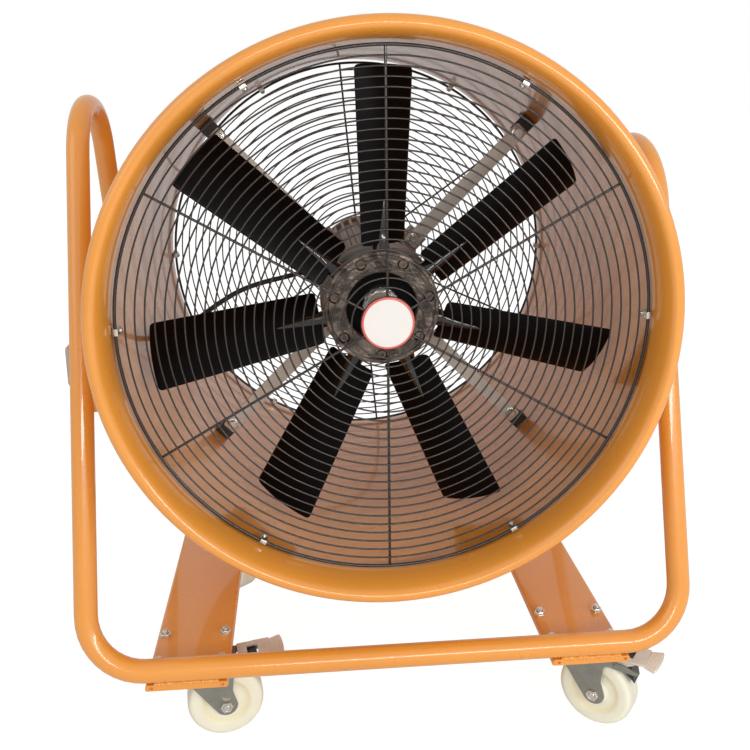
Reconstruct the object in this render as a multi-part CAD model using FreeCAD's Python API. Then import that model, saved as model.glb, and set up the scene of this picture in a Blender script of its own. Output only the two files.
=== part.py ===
import FreeCAD, Part
import math
import os

# Portable ventilator fan: a spun drum with an axial impeller on a motor, two wire
# guards, a bent tube frame with two handle loops, two base channels and four casters.
# Millimetres. Origin on the floor under the middle of the whole fan, +Z up, front toward -Y.
# The pieces are drawn about the drum's middle and moved sideways by the centring at the end.

os.makedirs("parts", exist_ok=True)

# Drum
drum_length = 600.0
drum_bore_radius = 316.0
drum_wall = 2.5
flange_radius = 340.0
flange_rim_width = 10.0
flare_depth = 46.0
flange_lip_depth = 12.0
flare_shares = (0.0, 0.5, 1.0)
axis_height = 573.0
drum_side_count = 48

# Guards
guard_inset = 44.0
guard_ring_clearance = 5.0
guard_rod = 4.0
guard_pitch = 11.2
guard_wire = 2.0
guard_spoke = 3.0
guard_spoke_count = 6
front_spoke_angle = 30.0
rear_spoke_angle = 35.0
small_ring_limit = 120.0
large_ring_limit = 255.0
ring_side_counts = (8, 12, 18)
outer_ring_side_count = 24
badge_radius = 31.0
badge_thickness = 2.0
clip_count = 6
clip_width = 8.0
clip_plate = 2.0
clip_reach = 14.0

# Impeller
blade_count = 7
first_blade_angle = 89.4
blade_tip_radius = 294.0
blade_root_radius = 78.0
blade_tip_chord = 92.0
blade_root_chord = 70.0
blade_angle = 35.3
blade_thickness_share = 0.065
blade_camber_share = 0.055
blade_pivot_share = 0.45
blade_edge_share = 0.25
blade_step_count = 4
tip_side_count = 36
shank_radius = 11.0
shank_inner_radius = 50.0
rib_end_radius = 132.0
rib_end_thickness = 5.0
shank_side_count = 8
impeller_setback = 134.0
hub_radius = 72.0
hub_window_radius = 44.6
hub_half_depth = 15.0
hub_web = 7.0
hub_boss_radius = 23.0
hub_boss_lead = 6.0
hub_screw_circle = 60.5
washer_thickness = 3.0
hub_screw_head_radius = 5.5
hub_screw_head_depth = 4.0
hub_side_count = 21
screw_side_count = 6

# Motor
shaft_radius = 12.0
motor_setback = 185.0
motor_length = 235.0
motor_core_radius = 70.0
motor_fin_height = 5.0
motor_fin_count = 18
motor_fin_share = 0.42
motor_bore_radius = 38.0
rotor_gap = 0.4
rotor_length = 110.0
shield_radius = 76.0
shield_depth = 12.0
bearing_radius = 20.0
bearing_width = 9.0
motor_lug_radius = 97.0
motor_lug_width = 28.0
motor_lug_depth = 20.0
motor_lug_setback = 283.0
pad_reach = 82.0
pad_length = 44.0
pad_height = 34.0
motor_side_count = 16

# Motor arms
arm_count = 4
arm_width = 20.0
arm_thickness = 4.0
arm_gap_to_wall = 16.0
bracket_depth = 30.0
bracket_width = 22.0
bracket_thickness = 4.0
bracket_leg = 28.0
arm_bolt_head_flats = 13.0
arm_bolt_head_depth = 5.5

# Tube frame
tube_radius = 14.3
tube_wall = 2.0
frame_rim_gap = 22.7
frame_half_depth = 135.2
frame_forward = 4.0
leg_lean = 0.30
corner_radius = 44.0
left_loop_radius = 81.3
right_loop_radius = 105.9
tube_side_count = 16
tube_bore_side_count = 6
corner_run_count = 3
loop_run_count = 6
lug_drop = 112.0
lug_height = 24.0
lug_thickness = 6.0

# Base channels
channel_width = 101.0
channel_height = 8.0
channel_sheet = 3.0
channel_bend = 5.0
channel_offset = 256.0
channel_overhang = 27.0
channel_notch = 8.0

# Casters
wheel_radius = 50.0
wheel_width = 36.0
wheel_shoulder = 8.0
shoulder_shares = (0.0, 1.0)
wheel_recess = 4.0
wheel_rim = 13.0
wheel_hub_radius = 15.0
wheel_side_count = 18
pin_side_count = 8
race_side_count = 12
caster_height = 124.6
caster_trail = 38.0
caster_spacing = 200.0
caster_plate_length = 94.0
caster_plate_width = 76.0
caster_plate_thickness = 3.0
bolt_spacing_x = 80.0
bolt_spacing_y = 60.0
caster_bolt_radius = 4.0
caster_bolt_flats = 13.0
caster_bolt_head = 5.0
caster_bolt_stub = 4.0
race_radius = 27.0
race_depth = 9.0
race_taper = 3.0
king_pin_radius = 7.0
king_pin_head_radius = 11.0
king_pin_head_depth = 3.0
fork_sheet = 3.0
fork_gap = 41.0
fork_top_drop = 18.6
fork_back = 21.0
fork_front = 56.0
fork_boss_radius = 12.0
fork_fillet = 9.0
fork_arm_reach = 98.0
fork_arm_depth = 9.0
axle_radius = 5.0
axle_head_flats = 16.0
axle_head_depth = 6.5
rest_angles = {"front_left": 9.0, "front_right": -38.0, "rear_left": -50.0, "rear_right": -20.0}

# Brake pedals
pedal_pivot_reach = 64.0
pedal_pivot_drop = 22.0
pedal_pin_radius = 3.0
pedal_sheet = 2.5
pedal_width = 39.0
pedal_start = 57.0
pedal_rise = 3.0
pedal_stroke = 12.0
shoe_length = 16.0
shoe_width = 24.0
shoe_gap = 0.4
pad_inner_width = 34.0
pad_outer_width = 46.0
pad_depth = 18.0
pad_thickness = 5.0
pad_straight_share = 0.8
window_length = 15.0
window_width = 20.0

# Control box
box_length = 110.0
box_depth = 50.0
box_height = 53.0
box_lid = 6.0
box_round = 4.0
box_drop = 86.5
box_middle = -45.0
box_stand_off = 37.5
box_bracket_sheet = 3.0
box_bracket_inset = 8.0
rocker_length = 21.0
rocker_width = 14.0
rocker_depth = 5.0
rocker_sink = 4.0
rocker_tilt = 10.0
rocker_pocket_depth = 6.5
rocker_end_gap = 1.2
rocker_dish_share = 0.7
gland_radius = 9.0
gland_length = 12.0

# Motor lead, from the control box through the drum wall to the motor; points from the drum's middle
lead_radius = 3.5
lead_side_count = 6
lead_trim_share = 0.45
gland_side_count = 8
grommet_radius = 10.0
grommet_bore = 6.2
grommet_length = 8.0
lead_route = [
    (-347.0, -20.0, -74.0),
    (-306.0, -19.0, -72.0),
    (-263.0, -17.5, -62.0),
    (-223.0, -16.0, -39.0),
    (-186.0, -15.0, -19.0),
    (-150.0, -14.5, -6.0),
    (-120.0, -15.0, 7.0),
    (-94.0, -16.0, 17.0),
]

# Fits
arc_run_count = 3
overrun = 5.0
close_fit = 0.1
running_fit = 0.05
seat_gap = 0.3

# Places worked out from the sizes above
half_length = drum_length / 2
throat_y = half_length - flare_depth
drum_outer_radius = drum_bore_radius + drum_wall
rim_inner_radius = flange_radius - flange_rim_width
guard_y = half_length - guard_inset
guard_ring_radius = drum_bore_radius - guard_ring_clearance
hub_y = impeller_setback - half_length
motor_front_y = motor_setback - half_length
motor_back_y = motor_front_y + motor_length
lug_front_y = motor_lug_setback - half_length
web_top = caster_height + channel_sheet
bar_z = web_top + tube_radius
bar_reach = frame_half_depth + leg_lean * (axis_height - bar_z)
lean = math.atan(leg_lean)
frame_half_width = flange_radius + frame_rim_gap + tube_radius
fork_top_z = caster_height - fork_top_drop
cheek_inner = fork_gap / 2
cheek_outer = cheek_inner + fork_sheet
pivot_z = caster_height - pedal_pivot_drop
box_z = axis_height - box_drop
lead_points = [(x, y, axis_height + z) for x, y, z in lead_route]
box_inner_x = -drum_outer_radius - box_stand_off
box_outer_reach = box_lid + box_depth - box_inner_x
rocker_lean = math.radians(rocker_tilt)
rocker_rise = rocker_depth * math.cos(rocker_lean) + rocker_length / 2 * math.sin(rocker_lean)
left_reach = box_outer_reach - rocker_sink + rocker_rise
right_reach = frame_half_width + tube_radius * math.cos(math.pi / tube_side_count)
centring = (left_reach - right_reach) / 2

X = FreeCAD.Vector(1, 0, 0)
Y = FreeCAD.Vector(0, 1, 0)
Z = FreeCAD.Vector(0, 0, 1)
origin = FreeCAD.Vector(0, 0, 0)
axis_point = Z * axis_height


def vec(x, y, z):
    return FreeCAD.Vector(x, y, z)


def save(name, *shapes):
    """One file per piece; a piece that repeats on one body is a compound of equal solids."""
    shape = shapes[0].copy() if len(shapes) == 1 else Part.makeCompound(list(shapes))
    shape.translate(X * centring)
    shape.exportStep("parts/" + name + ".step")


def outline(start, *steps):
    """Closed wire: a vector draws a line to it, a pair (through, end) draws an arc in short runs."""
    points = [start]
    for step in steps:
        if isinstance(step, tuple):
            bow = Part.Arc(points[-1], step[0], step[1]).toShape()
            points.extend(bow.discretize(arc_run_count + 1)[1:])
        else:
            points.append(step)
    return polygon(points)


def polygon(points):
    return Part.makePolygon(list(points) + [points[0]])


def extruded(wire, travel):
    return Part.Face(wire).extrude(travel)


def skinned(rings, closed):
    """Solid with flat faces between rings of matching points, capped unless the last meets the first."""
    count = len(rings[0])
    last = len(rings) if closed else len(rings) - 1
    faces = []
    for k in range(last):
        here, there = rings[k], rings[(k + 1) % len(rings)]
        for i in range(count):
            j = (i + 1) % count
            faces.append(Part.Face(polygon([here[i], here[j], there[j], there[i]])))
    if not closed:
        faces.append(Part.Face(polygon(rings[0])))
        faces.append(Part.Face(polygon(rings[-1])))
    solid = Part.makeSolid(Part.makeShell(faces))
    if solid.Volume < 0:
        solid.reverse()
    return solid


def flat_turned(profile, sides, centre):
    """Turned ring with flat sides, for pieces that repeat; the profile is (flat radius, y)."""
    step = 2 * math.pi / sides
    rings = []
    for radius, y in profile:
        corner = radius / math.cos(step / 2)
        turns = [step * (i + 0.5) - math.pi / 2 for i in range(sides)]
        rings.append([centre + vec(corner * math.cos(t), y, corner * math.sin(t)) for t in turns])
    return skinned(rings, True)


def flat_ring(inner, outer, y_start, y_end, sides):
    """Plain ring with flat sides about the drum axis."""
    profile = [(inner, y_start), (outer, y_start), (outer, y_end), (inner, y_end)]
    return flat_turned(profile, sides, axis_point)


def ring_corners(radius, sides, base, direction):
    """Corners of a regular polygon square to the direction."""
    side = X if abs(direction.dot(X)) < math.sqrt(0.5) else Y
    other = vec(*direction.cross(side)).normalize()
    side = other.cross(direction)
    corners = []
    for i in range(sides):
        turn = 2 * math.pi * (i + 0.5) / sides
        corners.append(base + side * (radius * math.cos(turn)) + other * (radius * math.sin(turn)))
    return corners


def prism(radius, sides, base, direction, length):
    """Flat-sided rod with its corners at the radius."""
    return extruded(polygon(ring_corners(radius, sides, base, direction)), direction * length)


def taper(start_radius, end_radius, sides, base, direction, length):
    """Flat-sided rod that narrows or widens along its length."""
    start = ring_corners(start_radius, sides, base, direction)
    end = ring_corners(end_radius, sides, base + direction * length, direction)
    return skinned([start, end], False)


def bore(radius, sides, base, direction, length):
    """Flat-sided hole cutter with its flats at the radius."""
    return prism(radius / math.cos(math.pi / sides), sides, base, direction, length)


def drum_core(radius):
    """Solid that fills the drum up to a radius, with its flat sides."""
    return bore(radius, drum_side_count, axis_point - Y * half_length, Y, drum_length)


def box(x0, x1, y0, y1, z0, z1):
    return Part.makeBox(x1 - x0, y1 - y0, z1 - z0, vec(x0, y0, z0))


def about_axis(shape, angle):
    """The shape turned about the drum axis, counter-clockwise seen from the front."""
    copy = shape.copy()
    copy.rotate(axis_point, -Y, angle)
    return copy


def hexagon(flats, depth, base, direction):
    """Hexagonal prism with the given width across flats."""
    return bore(flats / 2, 6, base, direction, depth)


def at_caster(shape, name):
    """A caster piece, drawn with its trail along +X, set at its place on the base."""
    copy = shape.copy()
    copy.rotate(origin, Z, rest_angles[name])
    copy.translate(caster_place(name))
    return copy


def caster_place(name):
    side_x = -1 if name.endswith("left") else 1
    side_y = -1 if name.startswith("front") else 1
    return vec(side_x * channel_offset, side_y * caster_spacing - frame_forward, 0)


# Drum: one spun shell with a bell mouth, a flat rim and a turned-back lip at each end


def flange_points():
    """Half outline of the drum as (radius, y), round a rim that is trimmed later."""
    rise = rim_inner_radius - drum_bore_radius
    radius = (rise**2 + flare_depth**2) / (2 * rise)
    centre = drum_bore_radius + radius
    turn = math.asin(flare_depth / radius)
    bead_back = half_length - flange_lip_depth
    back_radius = radius - drum_wall
    back_turn = math.asin((bead_back - throat_y) / back_radius)
    back = []
    front = []
    for share in flare_shares:
        for points, r, angle in ((back, back_radius, back_turn * share), (front, radius, turn * share)):
            points.append((centre - r * math.cos(angle), throat_y + r * math.sin(angle)))
    rim = [(flange_radius + overrun, bead_back), (flange_radius + overrun, half_length)]
    return back + rim + front[::-1]


def drum_shell():
    """Flat-sided shell whose rims are trimmed truly round, for the collar of a duct."""
    rear = flange_points()
    front = [(radius, -y) for radius, y in rear[::-1]]
    solid = flat_turned(rear + front, drum_side_count, axis_point)
    rims = Part.makeCylinder(flange_radius, drum_length, axis_point - Y * half_length, Y)
    return solid.common(rims).cut(lead_bore(grommet_radius + close_fit))


def lead_bore(radius):
    """Cylinder along the lead where it passes the drum wall."""
    start = vec(*lead_points[0])
    travel = vec(*lead_points[1]) - start
    direction = travel.normalize()
    middle = wall_crossing()
    bore_foot = middle - direction * grommet_length
    return bore(radius, gland_side_count, bore_foot, direction, 2 * grommet_length)


def wall_crossing():
    """Point where the first run of the lead meets the middle of the drum wall."""
    start = vec(*lead_points[0])
    end = vec(*lead_points[1])
    radius = drum_bore_radius + drum_wall / 2
    drop = (start.z + end.z) / 2 - axis_height
    x = -math.sqrt(radius**2 - drop**2)
    share = (x - start.x) / (end.x - start.x)
    return start + (end - start) * share


# Guards: concentric wire rings seated on six rods, the outer ring a thicker rod


def wire_ring(radius, width, seat, sides):
    """Flat-sided ring with a flat seat toward the rods; larger rings have more sides."""
    profile = [(radius - width / 2, seat), (radius + width / 2, seat), (radius, seat + width)]
    return flat_turned(profile, sides, axis_point)


def guard(side, first_angle):
    """One guard; side is -1 for the front, and the rods lie on the drum's side of the rings."""
    pieces = []
    radius = badge_radius
    while radius < guard_ring_radius - guard_pitch / 2:
        sides = ring_side_counts[(radius > small_ring_limit) + (radius > large_ring_limit)]
        pieces.append(wire_ring(radius, guard_wire, guard_y, sides))
        radius += guard_pitch
    pieces.append(wire_ring(guard_ring_radius, guard_rod, guard_y, outer_ring_side_count))
    start = badge_radius - guard_wire / 2
    end = guard_ring_radius + guard_rod / 2
    spoke = box(start, end, guard_y - guard_spoke, guard_y, -guard_spoke / 2, guard_spoke / 2)
    spoke.translate(axis_point)
    for i in range(guard_spoke_count):
        pieces.append(about_axis(spoke, first_angle + i * 360 / guard_spoke_count))
    solid = Part.makeCompound(pieces)
    return solid if side > 0 else solid.mirror(origin, Y)


def guard_badge():
    back = axis_point - Y * (guard_y + guard_wire)
    return prism(badge_radius, hub_side_count, back, -Y, badge_thickness)


def guard_clips():
    """Hooked clips that hold each outer ring against the drum wall."""
    inner = guard_ring_radius - guard_rod / 2 - seat_gap
    front = guard_y + guard_rod + seat_gap
    back = guard_y - guard_spoke - seat_gap
    hook_end = guard_ring_radius + guard_rod / 4
    profile = [
        vec(drum_bore_radius, back - clip_reach / 2, 0),
        vec(drum_bore_radius, back, 0),
        vec(inner, back, 0),
        vec(inner, front, 0),
        vec(hook_end, front, 0),
        vec(hook_end, front + clip_plate, 0),
        vec(inner - clip_plate, front + clip_plate, 0),
        vec(inner - clip_plate, back - clip_reach / 2, 0),
    ]
    clip = extruded(polygon(profile), Z * clip_width)
    clip.translate(axis_point - Z * (clip_width / 2))
    clips = []
    for end in (clip.mirror(origin, Y), clip):
        for i in range(clip_count):
            clips.append(about_axis(end, i * 360 / clip_count))
    return clips


# Impeller: seven adjustable blades clamped by their shanks between two hub halves


def blade_section(radius):
    """Aerofoil outline at one radius, for a blade that points up, leading edge to the front."""
    share = (radius - blade_root_radius) / (blade_tip_radius - blade_root_radius)
    chord = blade_root_chord + (blade_tip_chord - blade_root_chord) * share
    thickness = chord * blade_thickness_share
    turn = math.radians(blade_angle)
    along = vec(math.cos(turn), math.sin(turn), 0)
    outward = vec(math.sin(turn), -math.cos(turn), 0)
    start = Z * radius - along * (chord * blade_pivot_share)
    back = []
    face = []
    for i in range(blade_step_count + 1):
        share = i / blade_step_count
        bulge = 4 * share * (1 - share)
        camber = chord * blade_camber_share * bulge
        half = thickness / 2 * (blade_edge_share + (1 - blade_edge_share) * bulge)
        back.append(start + along * (chord * share) + outward * (camber + half))
        face.append(start + along * (chord * share) + outward * (camber - half))
    return back + face[::-1]


def blade():
    """One blade that points up from the drum axis, with its shank and tapered root rib."""
    sections = [blade_section(blade_root_radius), blade_section(blade_tip_radius + overrun)]
    paddle = skinned(sections, False)
    reach = blade_tip_chord
    paddle = paddle.common(prism(blade_tip_radius, tip_side_count, -Y * reach, Y, 2 * reach))
    shank_run = blade_root_radius - shank_inner_radius
    shank = prism(shank_radius, shank_side_count, Z * shank_inner_radius, Z, shank_run)
    rib_length = rib_end_radius - blade_root_radius
    rib = taper(shank_radius, rib_end_thickness / 2, shank_side_count, Z * blade_root_radius, Z, rib_length)
    solid = paddle.fuse([shank, rib]).removeSplitter()
    solid.translate(axis_point + Y * hub_y)
    return solid


def shank_bores():
    """Cutters that clear the blade shanks between the hub's outer wall and its window."""
    length = hub_radius + overrun - shank_inner_radius + close_fit
    cutter_foot = Z * (shank_inner_radius - close_fit)
    cutter = bore(shank_width() + close_fit, shank_side_count, cutter_foot, Z, length)
    cutter.translate(axis_point + Y * hub_y)
    return [about_axis(cutter, blade_turn(i)) for i in range(blade_count)]


def shank_width():
    """Distance from the shank's middle to its flats."""
    return shank_radius * math.cos(math.pi / shank_side_count)


def blade_turn(i):
    """Angle from straight up to a blade, counter-clockwise seen from the front."""
    return first_blade_angle - 90 + i * 360 / blade_count


def screw_place(i, radius, y_start, y_end):
    """Rod at one hub screw, midway between two blades."""
    base = axis_point + Z * hub_screw_circle + Y * y_start
    rod_at_top = prism(radius, screw_side_count, base, Y, y_end - y_start)
    return about_axis(rod_at_top, blade_turn(i) + 180 / blade_count)


def hub_front():
    front = hub_y - hub_half_depth
    solid = flat_ring(hub_window_radius, hub_radius, front, hub_y, hub_side_count)
    sinks = []
    for i in range(blade_count):
        seat = front + hub_screw_head_depth
        sinks.append(screw_place(i, hub_screw_head_radius + close_fit, front - overrun, seat))
    return solid.cut(shank_bores() + sinks)


def hub_rear():
    """Rear half: a cup whose web carries the boss on the shaft."""
    back = hub_y + hub_half_depth
    lead = hub_y - hub_boss_lead
    fit = shaft_radius + close_fit
    profile = [
        (fit, lead),
        (hub_boss_radius, lead),
        (hub_boss_radius, back - hub_web),
        (hub_window_radius, back - hub_web),
        (hub_window_radius, hub_y),
        (hub_radius, hub_y),
        (hub_radius, back),
        (hub_boss_radius, back),
        (hub_boss_radius, back + hub_boss_lead),
        (fit, back + hub_boss_lead),
    ]
    return flat_turned(profile, hub_side_count, axis_point).cut(shank_bores())


def hub_screws():
    front = hub_y - hub_half_depth
    seat = front + hub_screw_head_depth
    return [screw_place(i, hub_screw_head_radius, front, seat) for i in range(blade_count)]


def hub_cap():
    """Washer and bolt that hold the hub on the shaft."""
    front = hub_y - hub_boss_lead
    base = axis_point + Y * (front - washer_thickness)
    washer = prism(hub_boss_radius - washer_thickness, hub_side_count, base, Y, washer_thickness)
    return washer.fuse(hexagon(arm_bolt_head_flats, arm_bolt_head_depth, base, -Y))


def motor_shaft():
    """Shaft with the rotor core pressed on it."""
    front = hub_y - hub_boss_lead
    back = motor_back_y + bearing_width
    middle = (motor_front_y + motor_back_y) / 2
    shaft = prism(shaft_radius, motor_side_count, axis_point + Y * front, Y, back - front)
    core_start = axis_point + Y * (middle - rotor_length / 2)
    core = prism(motor_bore_radius - rotor_gap, motor_side_count, core_start, Y, rotor_length)
    return shaft.fuse(core)


# Motor: finned housing with four lugs and a terminal pad, closed by two end shields


def motor_housing():
    corners = []
    for i in range(motor_fin_count):
        start = 2 * math.pi * i / motor_fin_count
        fin = 2 * math.pi * motor_fin_share / motor_fin_count
        outer = motor_core_radius + motor_fin_height
        for radius, turn in (
            (motor_core_radius, start),
            (outer, start),
            (outer, start + fin),
            (motor_core_radius, start + fin),
        ):
            corner_z = axis_height + radius * math.sin(turn)
            corners.append(vec(radius * math.cos(turn), motor_front_y, corner_z))
    body = extruded(polygon(corners), Y * motor_length)
    lug_corner = axis_point + vec(-motor_lug_width / 2, lug_front_y, motor_bore_radius)
    lug = Part.makeBox(motor_lug_width, motor_lug_depth, motor_lug_radius - motor_bore_radius, lug_corner)
    lugs = [about_axis(lug, arm_angle(i)) for i in range(arm_count)]
    pad_corner = vec(-pad_reach, lead_points[-1][1] - pad_length / 2, lead_points[-1][2] - pad_height / 2)
    pad = Part.makeBox(pad_reach, pad_length, pad_height, pad_corner)
    start = axis_point + Y * (motor_front_y - overrun)
    stator = bore(motor_bore_radius, motor_side_count, start, Y, motor_length + 2 * overrun)
    return body.fuse(lugs + [pad]).cut(stator).removeSplitter()


def motor_end_shields():
    """Cast shields with a bearing seat each, the front one open for the shaft."""
    front = motor_front_y - shield_depth
    seat = motor_front_y - bearing_width
    open_radius = shaft_radius + seat_gap
    ring_profile = [
        (open_radius, front),
        (shield_radius, front),
        (shield_radius, motor_front_y),
        (bearing_radius, motor_front_y),
        (bearing_radius, seat),
        (open_radius, seat),
    ]
    front_shield = flat_turned(ring_profile, motor_side_count, axis_point)
    back_start = axis_point + Y * motor_back_y
    back_shield = prism(shield_radius, motor_side_count, back_start, Y, shield_depth)
    pocket_run = overrun + bearing_width + seat_gap
    pocket = bore(bearing_radius, motor_side_count, back_start - Y * overrun, Y, pocket_run)
    return [front_shield, back_shield.cut(pocket)]


def motor_bearings():
    fit = shaft_radius + running_fit
    outer = bearing_radius - close_fit
    return [
        flat_ring(fit, outer, motor_front_y - bearing_width, motor_front_y, motor_side_count),
        flat_ring(fit, outer, motor_back_y, motor_back_y + bearing_width, motor_side_count),
    ]


# Motor arms: four flat bars from the motor's lugs to brackets on the drum wall


def arm_angle(i):
    return 45 + i * 360 / arm_count


def arm_end_radius():
    return drum_bore_radius - arm_gap_to_wall


def arm_bolt_radii():
    """Radii of the two bolts of an arm: one on the motor's lug, one on the bracket."""
    return (motor_lug_radius - arm_width / 2, arm_end_radius() - arm_width / 2)


def motor_arms():
    inner = motor_core_radius + motor_fin_height + seat_gap
    bar_front = lug_front_y - arm_thickness
    bar = box(-arm_width / 2, arm_width / 2, bar_front, lug_front_y, inner, arm_end_radius())
    bar.translate(axis_point)
    return [about_axis(bar, arm_angle(i)) for i in range(arm_count)]


def arm_brackets():
    """L brackets: a radial leg behind the arm and a foot seated on the drum wall."""
    half = bracket_width / 2
    top = drum_bore_radius
    back = lug_front_y + bracket_thickness
    leg = box(-half, half, lug_front_y, back, top - bracket_leg, top)
    foot = box(-half, half, lug_front_y, lug_front_y + bracket_depth, top - bracket_thickness, top)
    solid = leg.fuse(foot).removeSplitter()
    solid.translate(axis_point)
    return [about_axis(solid, arm_angle(i)) for i in range(arm_count)]


def arm_bolts():
    """Hex heads on the arms, and a nut behind each bracket."""
    bolts = []
    face = lug_front_y - arm_thickness
    back = lug_front_y + bracket_thickness
    for radius, has_nut in zip(arm_bolt_radii(), (False, True)):
        place = axis_point + Z * radius
        pieces = [hexagon(arm_bolt_head_flats, arm_bolt_head_depth, place + Y * face, -Y)]
        if has_nut:
            pieces.append(hexagon(arm_bolt_head_flats, arm_bolt_head_depth, place + Y * back, Y))
        for piece in pieces:
            for i in range(arm_count):
                bolts.append(about_axis(piece, arm_angle(i)))
    return bolts


# Motor lead and the fittings it passes


def lead_path():
    """Straight runs joined by tangent arcs, as large as the two runs allow."""
    points = [vec(*p) for p in lead_points]
    edges = []
    here = points[0]
    for before, corner, after in zip(points, points[1:], points[2:]):
        run_in = corner - before
        run_out = after - corner
        shorter = min(run_in.Length, run_out.Length)
        trim = lead_trim_share * shorter
        half_turn = run_in.getAngle(run_out) / 2
        radius = trim / math.tan(half_turn)
        start = corner - vec(*run_in).normalize() * trim
        end = corner + vec(*run_out).normalize() * trim
        middle = (start + end) * 0.5
        inward = (middle - corner).normalize()
        bulge = radius / math.cos(half_turn) - radius
        edges.append(Part.LineSegment(here, start).toShape())
        edges.append(Part.Arc(start, corner + inward * bulge, end).toShape())
        here = end
    edges.append(Part.LineSegment(here, points[-1]).toShape())
    return Part.Wire(edges)


def motor_lead():
    path = lead_path()
    start = vec(*lead_points[0])
    direction = (vec(*lead_points[1]) - start).normalize()
    section = polygon(ring_corners(lead_radius, lead_side_count, start, direction))
    return path.makePipeShell([section], True, True).cut(cable_glands())


def cable_glands():
    """Glands on the motor, the control box and its supply side, and the wall grommet."""
    motor_end = vec(*lead_points[-1])
    pad_face = vec(-pad_reach, motor_end.y, motor_end.z)
    motor_gland = prism(gland_radius, gland_side_count, pad_face, -X, -pad_reach - motor_end.x)
    box_end = vec(*lead_points[0])
    box_face = vec(box_inner_x, box_end.y, box_end.z)
    box_gland = prism(gland_radius, gland_side_count, box_face, X, box_end.x - box_inner_x)
    direction = (vec(*lead_points[1]) - box_end).normalize()
    base = wall_crossing() - direction * (grommet_length / 2)
    grommet = prism(grommet_radius, gland_side_count, base, direction, grommet_length)
    hole_start = base - direction * overrun
    hole_run = grommet_length + 2 * overrun
    grommet = grommet.cut(bore(grommet_bore, gland_side_count, hole_start, direction, hole_run))
    supply_face = vec(box_inner_x - box_depth / 2, box_middle + box_length / 2, box_z)
    supply = prism(gland_radius, gland_side_count, supply_face, Y, gland_length)
    return [motor_gland, box_gland, grommet, supply]


# Frame: one bent tube, kept as bars, legs and handle loops that meet end to end


def tube(points):
    """Hollow flat-sided tube along mitred straight runs."""
    path = Part.makePolygon(points)
    direction = (points[1] - points[0]).normalize()
    bodies = []
    for radius, sides in ((tube_radius, tube_side_count), (tube_radius - tube_wall, tube_bore_side_count)):
        section = polygon(ring_corners(radius, sides, points[0], direction))
        bodies.append(path.makePipeShell([section], True, True, 1))
    return bodies[0].cut(bodies[1])


def bend(start, inward, forward, radius, turn, runs):
    """Corners of the straight runs that replace an arc and touch it at both ends."""
    centre = start + inward * radius
    step = turn / runs
    corners = [start]
    for i in range(runs):
        angle = step * (i + 0.5)
        out = forward * math.sin(angle) - inward * math.cos(angle)
        corners.append(centre + out * (radius / math.cos(step / 2)))
    corners.append(centre + (forward * math.sin(turn) - inward * math.cos(turn)) * radius)
    return corners


def leg_direction(side_y):
    return vec(0, -side_y * math.sin(lean), math.cos(lean))


def leg_foot(side_x, side_y):
    """Where the leg's line meets the bar's line."""
    return vec(side_x * frame_half_width, side_y * bar_reach - frame_forward, bar_z)


def loop_height(radius):
    """Height of a handle loop's top when a bend of this radius touches both legs."""
    spread = radius * (math.sqrt(1 + leg_lean**2) - leg_lean)
    return axis_height + (frame_half_depth - spread) / leg_lean


def loop_points(side_x):
    """Corners of a handle loop's runs, from the front leg to the rear leg."""
    radius = left_loop_radius if side_x < 0 else right_loop_radius
    centre = vec(side_x * frame_half_width, -frame_forward, loop_height(radius) - radius)
    inward = vec(0, math.cos(lean), -math.sin(lean))
    start = centre - inward * radius
    return bend(start, inward, leg_direction(-1), radius, math.pi - 2 * lean, loop_run_count)


def bar(side_y):
    reach = frame_half_width - corner_radius
    foot = leg_foot(1, side_y)
    return tube([vec(-reach, foot.y, foot.z), vec(reach, foot.y, foot.z)])


def leg(side_x, side_y):
    """Bent corner from the bar, then straight up to the handle loop."""
    foot = leg_foot(side_x, side_y)
    outward = X * side_x
    start = foot - outward * corner_radius
    corners = bend(start, leg_direction(side_y), outward, corner_radius, math.pi / 2, corner_run_count)
    loop = loop_points(side_x)
    upper = loop[0] if side_y < 0 else loop[-1]
    return tube(corners[:-1] + [upper])


def handle_loop(side_x):
    return tube(loop_points(side_x))


def drum_lugs():
    """Four flat lugs welded between the legs and the drum, shaped to both round surfaces."""
    lugs = []
    drum = drum_core(drum_outer_radius)
    z = axis_height - lug_drop
    for side_x in (-1, 1):
        for side_y in (-1, 1):
            foot = leg_foot(side_x, side_y)
            y = foot.y + leg_direction(side_y).y / leg_direction(side_y).z * (z - foot.z)
            inner = math.sqrt(drum_outer_radius**2 - (lug_drop + lug_height) ** 2)
            low_x = min(side_x * inner, side_x * frame_half_width)
            corner = vec(low_x, y - lug_thickness / 2, z - lug_height / 2)
            plate = Part.makeBox(frame_half_width - inner, lug_thickness, lug_height, corner)
            leg_rod = Part.makeCylinder(tube_radius, axis_height, foot, leg_direction(side_y))
            lugs.append(plate.cut([leg_rod, drum]))
    return lugs


# Base channels: folded sheet with shallow lips, drilled for the casters


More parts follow.
